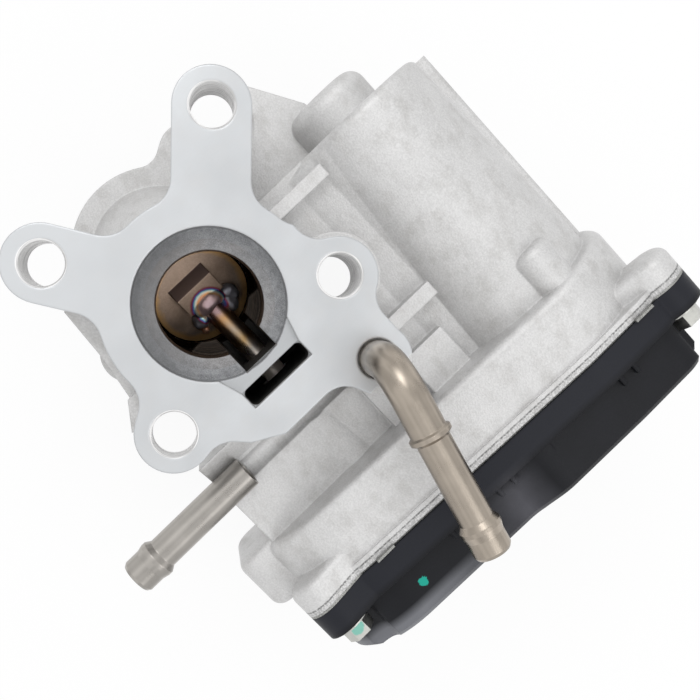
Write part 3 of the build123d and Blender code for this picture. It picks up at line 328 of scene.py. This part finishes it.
class StageLook(bpy.types.PropertyGroup):
    floor_gap: length_prop("Floor gap", "Room between the part and the floor", 0.5)
    camera_height: length_prop("Camera height", "Height of the camera over the flange", 220)
    lens: bpy.props.FloatProperty(name="Lens", description="Focal length in millimetres", default=50.0)
    sky: bpy.props.FloatProperty(name="Sky", description="Strength of the even light", default=0.96)


class CastFinish(Finish):
    """The material of the casting, with its grain, its regions and the colour of each."""

    # Edges of the regions in mm, each with the width over which it fades
    FACE_Z = (-0.2, 0.1)
    FACE_END_X = (40, 0.2)
    FOOT_Z = (-71.9, 0.1)
    MOUTH_Z = ((-2.3, 0.1), (-1.5, 0.1))
    MOUTH_END_X = (26, 0.2)
    LEDGE_Z = ((-6.3, 0.3), (-1.0, 0.4))
    LEDGE_RADIUS = (17.7, 0.1)
    BORE_Z = ((-46, 4), (-6.1, 0.3))
    BORE_RADIUS = (15, 0.2)
    DEEP_Z = (-20, 5)
    SHELF_Z = ((-19.3, 0.1), (-18.7, 0.1))
    SHELF_RADIUS = (13, 0.2)
    SLOT_X = ((10.5, 1), (18, 0.2))
    SLOT_Y = (4.9, 0.1)
    SLOT_Z = (-6.6, 0.4)
    WELL_X = ((19.6, 0.1), (24.2, 0.1))
    WELL_Y = (9.1, 0.1)
    WELL_Z = (-2.2, 0.8)
    RIM_X = ((69.8, 0.2), (71.2, 0.1))
    SEAM_X = ((69.45, 0.15), (69.85, 0.15))
    HOLES = ((-31.5, 31.0), (-31.5, -20.2), (15.5, 25.9), (15.5, -25.9))
    HOLE_RADIUS = (5.6, 0.1)
    HOLE_Z = (-13, 0.5)

    # How far a surface has to face a direction, with the same kind of width
    FLAT = (0.9, 0.05)
    UPRIGHT = (0.5, 0.1)
    TURNED_AWAY = (0.5, 0.2)

    SMUDGE = (0.42, 0.41, 0.395, 1)

    def __init__(self, look):
        super().__init__("cast_aluminium")
        self.look = look
        self.grain = self.noise(look.grain / MM, 4.0, 0.6)
        self.pits = self.noise(look.grain / MM * 3, 3.0, 0.55)
        self.patch = self.noise(5, 3.0, 0.5)
        self.cloud = self.noise(16, 2.0, 0.5)
        self.lines = self.noise(0.09, 1.0, 0.5, self.stretched((1.0, 0.03, 1.0), (0, 0, 0.4)))
        self.turned = self.noise(0.5, 2.0, 0.5, self.stretched((0.06, 0.06, 1.6)))
        self.off_axis = self.radius()
        # Grows across the flange; the painted light on the milled face and the painted shade on the ledge
        # follow it.
        self.diagonal = self.x + self.y
        up = self.facing((0, 0, 1)).above(*self.FLAT)
        foot = self.z.below(*self.FOOT_Z) * self.facing((0, 0, -1)).above(*self.FLAT)
        self.face = self.z.above(*self.FACE_Z) * up * self.x.below(*self.FACE_END_X) + foot
        self.mouth = self.z.between(*self.MOUTH_Z) * up * self.x.below(*self.MOUTH_END_X)
        self.ledge = self.z.between(*self.LEDGE_Z) * self.off_axis.below(*self.LEDGE_RADIUS)
        self.bore = self.z.between(*self.BORE_Z) * self.off_axis.below(*self.BORE_RADIUS)
        self.shelf = self.z.between(*self.SHELF_Z) * up * self.off_axis.below(*self.SHELF_RADIUS)
        self.rim = self.x.between(*self.RIM_X) * self.facing((1, 0, 0)).below(*self.TURNED_AWAY)
        self.drilled = self.in_holes() * up.below(*self.UPRIGHT) * self.z.above(*self.HOLE_Z)
        self.painted_hollow_shade = self.round_shaft()

    def in_holes(self):
        """One inside the flange holes, at every height."""
        first, *others = (self.radius(*hole).below(*self.HOLE_RADIUS) for hole in self.HOLES)
        for other in others:
            first = first.math("MAXIMUM", other)
        return first

    def round_shaft(self):
        """One in the slot beside the port and in the well behind it, where near black shade is painted."""
        side = self.y.math("ABSOLUTE")
        slot = self.x.between(*self.SLOT_X) * side.below(*self.SLOT_Y) * self.z.below(*self.SLOT_Z)
        well = self.x.between(*self.WELL_X) * side.below(*self.WELL_Y) * self.z.below(*self.WELL_Z)
        return slot.math("MAXIMUM", well)

    def cast_skin(self):
        """Grey with patches, smudges and scratches, and a dark seam under the cover."""
        cast = self.look.cast
        smudge = self.noise(6, 5.0, 0.65, self.stretched((1.0, 1.3, 0.8), (0.3, 0, 0.5)))
        seam = self.x.between(*self.SEAM_X) * self.grain.below(0.58, 0.3)
        return self.layers(
            self.shaded(self.cloud.above(0.52, 0.5), cast, 0.95, 1.04),
            (self.patch.above(0.5, 0.4) * 0.4, shade(cast, 0.9)),
            (smudge.above(0.60, 0.25) * 0.5, self.SMUDGE),
            (self.lines.above(0.70, 0.05) * self.patch.above(0.55, 0.1) * 0.4, shade(cast, 0.6)),
            (self.grain.below(0.43, 0.2) * 0.26, shade(cast, 0.6)),
            (self.grain.above(0.60, 0.2) * 0.25, shade(cast, 1.35)),
            # Lighter sharp edges: partly edge wear, partly painted highlight.
            (self.edges(self.look.edge / MM) * 0.25, shade(cast, 1.25)),
            (self.rim * self.grain.below(0.50, 0.2) * 0.5, shade(cast, 0.4)),
            (seam * 0.9, shade(cast, 0.2)),
        )

    def milled_face(self):
        """Smooth, with fine lines of the cutter, and painted light that makes it lighter towards one side.
        """
        machined = self.look.machined
        return self.layers(
            self.shaded(self.cloud.above(0.5, 0.3), machined, 0.94, 1.05),
            (self.patch.above(0.55, 0.2) * 0.25, shade(self.look.cast, 0.88)),
            (self.lines.above(0.62, 0.2) * 0.14, shade(machined, 0.8)),
            # Painted light, lighter towards one side of the face.
            (self.diagonal.below(-30, 50) * 0.7, shade(machined, 1.12)),
        )

    def sooty_and_shaded_ledge(self):
        """Grey with dark pits and light specks, and painted shade that makes it darker towards one side."""
        ledge = self.look.ledge
        speck = self.noise(0.25, 2.0, 0.6)
        return self.layers(
            self.shaded(self.pits.above(0.5, 0.3), ledge, 0.82, 1.2),
            (self.grain.below(0.45, 0.2) * 0.5, shade(ledge, 0.55)),
            (speck.above(0.55, 0.2) * 0.35, shade(ledge, 1.9)),
            # Painted shade, darker towards one side of the ledge.
            (self.diagonal.below(-8, 12) * 0.6, shade(ledge, 0.62)),
        )

    def burnt_bore(self):
        """Brown turned lines, darker rings on the shelf and painted shade below it."""
        bore = self.look.bore
        rings = self.noise(0.4, 2.0, 0.5, self.node("CombineXYZ", None, {"X": self.off_axis}).outputs[0])
        return self.layers(
            self.shaded(self.turned.above(0.5, 0.25), bore, 0.7, 2.1),
            (self.shelf, self.shaded(rings.above(0.5, 0.2), bore, 0.1, 0.4)),
            # Painted shade deep in the bore, below the disc.
            (self.z.below(*self.DEEP_Z), shade(self.look.painted_hollow_shade, 0.8)),
        )

    def finished(self):
        """The material with all regions laid over each other."""
        milled = self.face.math("MAXIMUM", self.drilled)
        skin = (1 - milled - self.mouth).clamped()
        walls = self.shaded(self.turned.above(0.5, 0.15), self.look.cast, 0.85, 1.4)
        colour = self.layers(
            self.cast_skin(),
            (milled, self.mix(self.drilled, self.milled_face(), walls)),
            (self.mouth, shade(self.look.machined, 0.8)),
            (self.ledge, self.sooty_and_shaded_ledge()),
            (self.bore, self.burnt_bore()),
            (self.painted_hollow_shade, shade(self.look.painted_hollow_shade)),
        )
        rough = 0.56 + (self.grain - 0.5) * 0.25 - self.face * 0.16 - self.mouth * 0.1
        rough = rough + self.ledge * 0.1 - self.bore * 0.2 + self.painted_hollow_shade * 0.3
        height = (self.grain + self.pits * 0.6) * skin + self.lines * milled * 0.06
        normal = self.bump(height, 0.09, self.rounded(self.look.edge / MM))
        metallic = 0.78 - self.ledge * 0.3 - self.painted_hollow_shade * 0.5 - self.drilled * 0.6
        return self.surface(colour, rough, normal, metallic)


class EGR_OT_casting(bpy.types.Operator):
    """Finish the cast housing, its milled faces and its sooty port, with painted shade in the port's
    hollows.
    """

    bl_idname = "egr.casting"
    bl_label = "Casting"

    def execute(self, context):
        dress(CastFinish(context.scene.egr_casting).finished(), "valve_housing")
        return {"FINISHED"}


class EGR_OT_butterfly(bpy.types.Operator):
    """Finish the nozzle, disc, seal ring and shaft with heat tints, and make the weld."""

    bl_idname = "egr.butterfly"
    bl_label = "Butterfly"

    # Places and lengths in mm and directions, edges with the width over which they fade
    HEAT_AT = (0.8, -0.2, -22.8)
    HEAT_REACH = 6.5
    HEAT_END = (0.80, 0.06)
    HEAT_LOW_Z = (-27.5, 1)
    DISC_AT = (-3.4, 0.0, -25.3)
    DISC_FACES = (-0.29, 0, 0.96)
    DISC_FLAT = (0.93, 0.04)
    DISC_RIM = (10.9, 1.2)
    BACK_X = (-4, 0.5)
    SHAFT_REACH = 30
    SHAFT_SMOOTH_X = (18, 1)
    SHAFT_PALE_X = (19, 1)
    COPPER_AT = (4.0, -5.2, -27.6)
    COPPER_RADIUS = (2.2, 0.8)

    # Places run from the weld outwards, as shares of a reach
    HEAT_COLOURS = (
        (0.0, (0.36, 0.25, 0.25)), (0.22, (0.50, 0.37, 0.39)), (0.44, (0.72, 0.52, 0.52)),
        (0.52, (0.90, 0.52, 0.26)), (0.57, (0.95, 0.85, 0.62)), (0.61, (0.90, 0.93, 0.88)),
        (0.65, (0.30, 0.62, 0.68)), (0.69, (0.06, 0.10, 0.36)), (0.74, (0.24, 0.04, 0.07)),
        (0.82, (0.28, 0.20, 0.15)),
    )
    SHAFT_COLOURS = (
        (0.0, (0.22, 0.13, 0.12)), (0.14, (0.35, 0.24, 0.24)), (0.22, (0.52, 0.30, 0.14)),
        (0.36, (0.48, 0.38, 0.28)), (0.46, (0.52, 0.34, 0.16)),
    )
    WELD_END = (0.80, (0.22, 0.22, 0.25))
    STRAW = (0.58, 0.34, 0.12, 1)
    COPPER = (0.62, 0.34, 0.22, 1)

    # The bead round the shaft: points of its section, steps round the shaft and shift in mm
    BEAD_POINTS = 18
    BEAD_STEPS = 72
    BEAD_SHIFT = -0.9
    # The runs down to the disc: middle and half sizes in mm, turn in radians
    RUNS = (
        ((1.2, 5.6, -26.6), (2.6, 2.2, 1.9), 0.5), ((3.2, 4.2, -26.9), (2.6, 1.9, 2.0), -0.2),
        ((1.6, -4.4, -26.6), (2.4, 2.0, 2.0), -0.3), ((3.9, -5.0, -27.6), (1.2, 1.0, 1.5), 0.0),
    )
    # The lumps on them: waves per mm and height in mm
    LUMPS = ((0.45, 0.45), (1.3, 0.12))

    def tinted(self, name, base, low=0.8, high=1.15):
        """Browned steel with soft clouds and fine scale."""
        finish = Finish(name)
        cloud = finish.noise(3.5, 4.0, 0.6)
        fine = finish.noise(0.25, 3.0, 0.6)
        scale = finish.noise(0.7, 3.0, 0.7)
        colour = finish.layers(
            finish.shaded(cloud.above(0.5, 0.4), base, low, high),
            (fine.below(0.42, 0.3) * 0.3, shade(base, 0.5)),
            (scale.above(0.5, 0.3) * 0.35, shade(base, 0.6)),
        )
        return finish, cloud, fine, colour

    def heat(self, finish, cloud):
        """Ragged distance from the weld, as a share of its reach."""
        return finish.distance(self.HEAT_AT) / self.HEAT_REACH + (cloud - 0.5) * 0.12

    def disc(self, look):
        """Light brown disc with a straw rim, painted shade on the back of its boss and heat tints round the
        weld.
        """
        finish, cloud, fine, colour = self.tinted("browned_disc", look.disc)
        rim = finish.distance(self.DISC_AT) + (cloud - 0.5) * 2
        # Painted shade on the back of the boss, chosen by which way the surface faces.
        back = finish.facing(self.DISC_FACES).above(*self.DISC_FLAT) * finish.x.below(*self.BACK_X)
        spot = self.heat(finish, cloud)
        near = spot.below(*self.HEAT_END) * finish.z.above(*self.HEAT_LOW_Z)
        colour = finish.layers(
            colour,
            (rim.above(*self.DISC_RIM) * 0.8, self.STRAW),
            (back, shade(look.boss)),
            (near, finish.ramp(spot, self.HEAT_COLOURS)),
        )
        normal = finish.bump(fine, 0.04, finish.rounded(0.35))
        dress(finish.surface(colour, 0.42 + (cloud - 0.5) * 0.3, normal, 0.85), "valve_disc")

    def nozzle(self, look):
        """Brown nozzle ring and seal ring, smoother than the disc."""
        finish, cloud, fine, colour = self.tinted("browned_ring", look.ring, 0.6, 1.5)
        normal = finish.bump(fine, 0.02, finish.rounded(0.3))
        material = finish.surface(colour, 0.26 + (cloud - 0.5) * 0.2, normal, 1.0)
        dress(material, "port_nozzle", "disc_seal_ring")

    def shaft(self, look):
        """Bright shaft, straw and brown near the weld, and lighter still in the well, where light is
        painted.
        """
        finish = Finish("tinted_shaft")
        cloud = finish.noise(2.5, 3.0, 0.6, finish.stretched((0.4, 1, 1)))
        fine = finish.noise(0.12, 2.0, 0.5, finish.stretched((6.0, 1, 1)))
        along = (finish.x - WELD_START_X) / self.SHAFT_REACH + (cloud - 0.5) * 0.1
        # Painted light: the shaft turns much lighter where it lies in the well.
        steel_and_painted_light = ((0.56, look.steel[:]), (0.62, shade(look.steel, 1.9)))
        colour = finish.ramp(along, self.SHAFT_COLOURS + steel_and_painted_light)
        normal = finish.bump(fine, 0.015, finish.rounded(0.25))
        rough = 0.30 + (cloud - 0.5) * 0.2 - finish.x.above(*self.SHAFT_SMOOTH_X) * 0.05
        metallic = 1 - finish.x.above(*self.SHAFT_PALE_X) * 0.8
        dress(finish.surface(colour, rough, normal, metallic), "valve_shaft")

    def weld_mesh(self, thick):
        """Lumpy weld in mm: a bead round the shaft and runs on each side, down to the disc."""
        shape = bmesh.new()
        middle = Vector(((WELD_START_X + WELD_END_X) / 2 + self.BEAD_SHIFT, 0, SHAFT_Z))
        made = bmesh.ops.create_circle(shape, segments=self.BEAD_POINTS, radius=thick / 2)
        bmesh.ops.rotate(shape, verts=made["verts"], matrix=Matrix.Rotation(pi / 2, 3, "X"))
        bmesh.ops.translate(shape, verts=made["verts"], vec=middle + Vector((0, 0, SHAFT_RADIUS)))
        bmesh.ops.spin(
            shape, geom=made["verts"] + list(shape.edges), cent=middle, axis=(1, 0, 0), angle=2 * pi,
            steps=self.BEAD_STEPS, use_merge=True,
        )
        for place, size, turn in self.RUNS:
            run = bmesh.ops.create_icosphere(shape, subdivisions=4, radius=1.0)
            bmesh.ops.scale(shape, vec=size, verts=run["verts"])
            bmesh.ops.rotate(shape, verts=run["verts"], matrix=Matrix.Rotation(turn, 3, "Z"))
            bmesh.ops.translate(shape, vec=place, verts=run["verts"])
        bmesh.ops.recalc_face_normals(shape, faces=shape.faces)
        shape.normal_update()
        for vert in shape.verts:
            lump = sum(noise.noise(vert.co * waves) * height for waves, height in self.LUMPS)
            vert.co += vert.normal * lump
        bmesh.ops.scale(shape, vec=(MM, MM, MM), verts=shape.verts)
        for face in shape.faces:
            face.smooth = True
        mesh = bpy.data.meshes.new("weld_bead")
        shape.to_mesh(mesh)
        shape.free()
        return mesh

    def weld_metal(self):
        """Heat tinted weld with a copper coloured spot."""
        finish = Finish("weld_metal")
        cloud = finish.noise(1.6, 3.0, 0.6)
        fine = finish.noise(0.2, 3.0, 0.6)
        colour = finish.ramp(self.heat(finish, cloud), (*self.HEAT_COLOURS[:-1], self.WELD_END))
        colour = finish.mix(finish.distance(self.COPPER_AT).below(*self.COPPER_RADIUS), colour, self.COPPER)
        normal = finish.bump(fine, 0.03, finish.rounded(0.1))
        return finish.surface(colour, 0.44 + (cloud - 0.5) * 0.2, normal, 0.85)

    def weld(self, look):
        """The weld that stands in for the plain bead of the solids."""
        mesh = self.weld_mesh(look.bead / MM)
        mesh.materials.append(self.weld_metal())
        bead = bpy.data.objects.new("weld_bead", mesh)
        bpy.context.collection.objects.link(bead)
        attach(bead, "valve")
        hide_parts("shaft_weld")

    def execute(self, context):
        look = context.scene.egr_heat
        self.disc(look)
        self.nozzle(look)
        self.shaft(look)
        self.weld(look)
        return {"FINISHED"}


class EGR_OT_pipes(bpy.types.Operator):
    """Finish the two drawn coolant pipes."""

    bl_idname = "egr.pipes"
    bl_label = "Coolant pipes"

    def drawn(self, name, colour):
        """Drawn steel with painted reflections: light and dark streaks that run along it."""
        finish = Finish(name)
        cloud = finish.noise(5, 3.0, 0.5)
        fine = finish.noise(0.12, 2.0, 0.6)
        painted_reflection = finish.noise(0.5, 1.0, 0.5, finish.own_normal("Normal"))
        mixed = finish.layers(
            finish.shaded(cloud.above(0.5, 0.5), colour, 0.88, 1.1),
            # Painted reflections in streaks, set by which way the surface faces.
            (painted_reflection.below(0.42, 0.24) * 0.45, shade(colour, 0.6)),
            (painted_reflection.above(0.58, 0.22) * 0.5, shade(colour, 1.5)),
            # Lighter sharp edges: partly edge wear, partly painted highlight.
            (finish.edges(0.35) * 0.5, shade(colour, 1.35)),
        )
        normal = finish.bump(fine, 0.015, finish.rounded(0.3))
        return finish.surface(mixed, 0.30 + (cloud - 0.5) * 0.16 + (fine - 0.5) * 0.1, normal, 1.0)

    def execute(self, context):
        look = context.scene.egr_pipes
        dress(self.drawn("upper_pipe_steel", look.upper), "upper_coolant_pipe")
        dress(self.drawn("lower_pipe_steel", look.lower), "lower_coolant_pipe")
        return {"FINISHED"}


class EGR_OT_cover(bpy.types.Operator):
    """Finish the moulded gear cover, its gasket and the sensor parts."""

    bl_idname = "egr.cover"
    bl_label = "Gear cover"

    # Edges in mm, each with the width over which it fades
    BAND_X = (77.5, 1.5)
    FLUTE_X = (79, 6)
    FLUTE_Y = ((17, 9), (26, 8))
    FLUTE_Z = (-14, 6)
    END_X = (87.5, 2.5)
    END_Y = (2, 30)
    DOT_AT = (83.9, -9.4, -7.8)

    FLUTE_SHEEN = (0.10, 0.10, 0.115, 1)
    END_SHEEN = (0.20, 0.205, 0.225, 1)
    GASKET_DARK = (0.16, 0.16, 0.155, 1)
    GASKET_LIGHT = (0.46, 0.46, 0.44, 1)
    SENSOR_GREY = (0.05, 0.05, 0.055)
    RUBBER_BLACK = (0.012, 0.012, 0.013)
    GEAR_CREAM = (0.62, 0.57, 0.45)
    CARBON_BLACK = (0.03, 0.03, 0.03)

    def moulded(self, name, colour, grain=0.35, roughness=0.45, specular=0.3, rounding=0.5, cover=None):
        """Moulded plastic or rubber, with the marks of the cover if its look is given."""
        finish = Finish(name)
        fine = finish.noise(grain, 3.0, 0.6)
        cloud = finish.noise(9, 3.0, 0.5)
        mixed = finish.layers(
            finish.shaded(cloud.above(0.5, 0.5), colour, 0.85, 1.2),
            # Lighter sharp edges: partly edge wear, partly painted highlight.
            (finish.edges(0.6) * 0.3, shade(colour, 2.4)),
            *(self.cover_marks(finish, cloud, cover) if cover else ()),
        )
        normal = finish.bump(fine, 0.03, finish.rounded(rounding))
        return finish.surface(mixed, roughness + (fine - 0.5) * 0.3, normal, 0.0, specular)

    def cover_marks(self, finish, cloud, look):
        """The cover's lighter band, the sheen on its flute and end, and its ragged paint dot."""
        flute = finish.y.between(*self.FLUTE_Y) * finish.x.above(*self.FLUTE_X)
        flute = flute * finish.z.above(*self.FLUTE_Z)
        end = finish.x.above(*self.END_X) * finish.y.below(*self.END_Y)
        ragged = finish.distance(self.DOT_AT) + (finish.noise(0.9, 2.0, 0.5) - 0.5) * 1.4
        return (
            (finish.x.below(*self.BAND_X), shade(look.plastic, 2.2)),
            (flute * (0.35 + cloud * 0.65), self.FLUTE_SHEEN),
            (end * (0.6 + cloud * 0.4), self.END_SHEEN),
            (ragged.below(look.dot_radius / MM, 0.2), shade(look.dot)),
        )

    def gasket(self):
        """Coated sheet metal whose cut edge is speckled."""
        finish = Finish("gasket_sheet")
        speckle = finish.noise(0.28, 3.0, 0.7)
        colour = finish.mix(speckle.above(0.5, 0.3), self.GASKET_DARK, self.GASKET_LIGHT)
        normal = finish.bump(speckle, 0.05, finish.rounded(0.1))
        return finish.surface(colour, 0.4 + speckle * 0.2, normal, 0.8)

    def execute(self, context):
        look = context.scene.egr_cover
        cover = self.moulded("cover_plastic", look.plastic, specular=0.2, rounding=1.2, cover=look)
        dress(cover, "gear_cover")
        dress(self.moulded("sensor_plastic", self.SENSOR_GREY, 0.2), "sensor_stem")
        dress(self.moulded("seal_rubber", self.RUBBER_BLACK, 0.2, 0.6), "shaft_seal")
        dress(self.moulded("gear_plastic", self.GEAR_CREAM, 0.3), "sector_gear", "intermediate_gear")
        dress(self.moulded("brush_carbon", self.CARBON_BLACK, 0.15, 0.6), "motor_brushes")
        dress(self.gasket(), "cover_gasket")
        return {"FINISHED"}


class EGR_OT_metals(bpy.types.Operator):
    """Finish the screws, bearing, spring, pins and the motor's pieces."""

    bl_idname = "egr.metals"
    bl_label = "Small metal parts"

    # A paint mark on one of the cover's screws, in mm
    MARK_AT = (80.7, -28.5, -8.2)
    MARK_RADIUS = (1.5, 0.4)
    MARK_COLOUR = (0.10, 0.45, 0.36, 1)

    # Each finish with its colour, roughness and pieces
    FINISHES = {
        "zinc_steel": ((0.50, 0.50, 0.47), 0.32, ("cover_screws", "motor_screws")),
        "bearing_steel": ((0.62, 0.62, 0.63), 0.15, (
            "bearing_outer_race", "bearing_inner_race", "bearing_balls",
        )),
        "bright_steel": ((0.50, 0.50, 0.50), 0.28, (
            "lever_plate", "magnet_yokes", "gear_pin", "motor_shaft",
        )),
        "spring_steel": ((0.22, 0.22, 0.23), 0.35, ("return_spring",)),
        "magnet": ((0.07, 0.07, 0.075), 0.6, ("sensor_magnets", "motor_magnets")),
        "motor_steel": ((0.55, 0.55, 0.53), 0.4, ("motor_can", "motor_plate")),
        "core_steel": ((0.20, 0.20, 0.21), 0.5, ("armature_core",)),
        "copper": ((0.62, 0.26, 0.13), 0.3, ("armature_windings", "commutator", "connector_pins")),
        "bronze": ((0.45, 0.28, 0.12), 0.45, ("shaft_bush", "motor_rear_bush", "motor_front_bush")),
        "pinion_brass": ((0.62, 0.45, 0.17), 0.3, ("motor_pinion",)),
    }

    def execute(self, context):
        for name, (colour, roughness, nodes) in self.FINISHES.items():
            finish = Finish(name)
            cloud = finish.noise(3, 3.0, 0.5)
            fine = finish.noise(0.15, 2.0, 0.6)
            mixed = finish.layers(
                finish.shaded(cloud.above(0.5, 0.5), colour, 0.85, 1.12),
                # Lighter sharp edges: partly edge wear, partly painted highlight.
                (finish.edges(0.3) * 0.4, shade(colour, 1.4)),
            )
            if "cover_screws" in nodes:
                mark = finish.distance(self.MARK_AT) + (cloud - 0.5) * 2
                mixed = finish.mix(mark.below(*self.MARK_RADIUS) * 0.7, mixed, self.MARK_COLOUR)
            normal = finish.bump(fine, 0.02, finish.rounded(0.25))
            rough = roughness + (cloud - 0.5) * 0.2 + (fine - 0.5) * 0.1
            dress(finish.surface(mixed, rough, normal, 1.0), *nodes)
        return {"FINISHED"}


class EGR_OT_stage(bpy.types.Operator):
    """Set up the floor, the light and the camera."""

    bl_idname = "egr.stage"
    bl_label = "Stage"

    # Places and sizes in metres, the camera's turn in degrees, its sensor in mm
    CAMERA_PLACE = (-0.00142, -0.00010)
    CAMERA_TURN = (-2.944, -8.472, 46.504)
    CAMERA_NEAR = 0.01
    SENSOR_WIDTH = 36.0
    FLOOR_SIZE = 4.0
    FLOOR_GLOW = 0.9
    LIT_PLACE = (0.020, 0.020, -0.025)
    LIGHT_SIZE = 0.35
    # Each light with its place and power in watts
    LIGHTS = {
        "key": ((-0.40, 0.20, 0.50), 0.9),
        "fill": ((0.40, 0.10, 0.45), 0.5),
    }

    WHITE = (1, 1, 1, 1)
    PAPER = (0.88, 0.88, 0.88, 1)

    def floor(self, look):
        """White paper that glows where it is seen, so that it looks even, and still takes shadows."""
        shape = bmesh.new()
        bmesh.ops.create_grid(shape, x_segments=1, y_segments=1, size=self.FLOOR_SIZE / 2)
        bmesh.ops.translate(shape, vec=(0, 0, CAD_BOX[0][2] - look.floor_gap), verts=shape.verts)
        mesh = bpy.data.meshes.new("floor")
        shape.to_mesh(mesh)
        shape.free()
        floor = bpy.data.objects.new("floor", mesh)
        bpy.context.collection.objects.link(floor)
        material = bpy.data.materials.new("floor_paper")
        nodes = Nodes(material)
        paper = nodes.node("BsdfDiffuse", None, {"Color": self.PAPER})
        glow = nodes.node("Emission", None, {"Color": self.WHITE, "Strength": 1.0})
        both = nodes.node("MixShader", None, {
            0: nodes.seen() * self.FLOOR_GLOW, 1: paper.outputs[0], 2: glow.outputs[0],
        })
        nodes.node("OutputMaterial", None, {"Surface": both.outputs[0]})
        mesh.materials.append(material)

    def sky(self, look):
        """Even light whose own picture is white."""
        world = bpy.data.worlds.new("even_light")
        nodes = Nodes(world)
        light = nodes.node("Background", None, {"Color": self.WHITE, "Strength": look.sky})
        white = nodes.node("Background", None, {"Color": self.WHITE, "Strength": 1.0})
        both = nodes.node("MixShader", None, {0: nodes.seen(), 1: light.outputs[0], 2: white.outputs[0]})
        nodes.node("OutputWorld", None, {"Surface": both.outputs[0]})
        bpy.context.scene.world = world

    def light(self, name, place, power):
        """A round area light that points at the part."""
        data = bpy.data.lights.new(name, "AREA")
        data.shape = "DISK"
        data.size = self.LIGHT_SIZE
        data.energy = power
        light = bpy.data.objects.new(name, data)
        light.location = place
        light.rotation_euler = (Vector(self.LIT_PLACE) - Vector(place)).to_track_quat("-Z", "Y").to_euler()
        bpy.context.collection.objects.link(light)

    def camera(self, look):
        """A camera that looks down at the flange."""
        data = bpy.data.cameras.new("camera")
        data.lens = look.lens
        data.sensor_width = self.SENSOR_WIDTH
        data.clip_start = self.CAMERA_NEAR
        camera = bpy.data.objects.new("camera", data)
        camera.location = (*self.CAMERA_PLACE, look.camera_height)
        camera.rotation_euler = Euler([radians(turn) for turn in self.CAMERA_TURN])
        bpy.context.collection.objects.link(camera)
        bpy.context.scene.camera = camera

    def execute(self, context):
        look = context.scene.egr_stage
        self.floor(look)
        self.sky(look)
        for name, (place, power) in self.LIGHTS.items():
            self.light(name, place, power)
        self.camera(look)
        context.scene.view_settings.view_transform = "Standard"
        return {"FINISHED"}


class EGR_PT_panel(bpy.types.Panel):
    """Lists the finishes and the stage."""

    bl_idname = "EGR_PT_panel"
    bl_label = "EGR valve"
    bl_space_type = "VIEW_3D"
    bl_region_type = "UI"
    bl_category = "EGR valve"

    def draw(self, context):
        for operator in OPERATORS:
            self.layout.operator(operator.bl_idname)


LOOKS = {
    "egr_casting": CastingLook,
    "egr_heat": HeatLook,
    "egr_pipes": PipeLook,
    "egr_cover": CoverLook,
    "egr_stage": StageLook,
}
OPERATORS = (EGR_OT_casting, EGR_OT_butterfly, EGR_OT_pipes, EGR_OT_cover, EGR_OT_metals, EGR_OT_stage)


def register():
    for cls in (*LOOKS.values(), *OPERATORS, EGR_PT_panel):
        bpy.utils.register_class(cls)
    for name, cls in LOOKS.items():
        setattr(bpy.types.Scene, name, bpy.props.PointerProperty(type=cls))


def unregister():
    for name in LOOKS:
        delattr(bpy.types.Scene, name)
    for cls in (EGR_PT_panel, *reversed(OPERATORS), *reversed(LOOKS.values())):
        bpy.utils.unregister_class(cls)


def main():
    register()
    for operator in OPERATORS:
        group, name = operator.bl_idname.split(".")
        getattr(getattr(bpy.ops, group), name)()


if __name__ == "__main__":
    main()
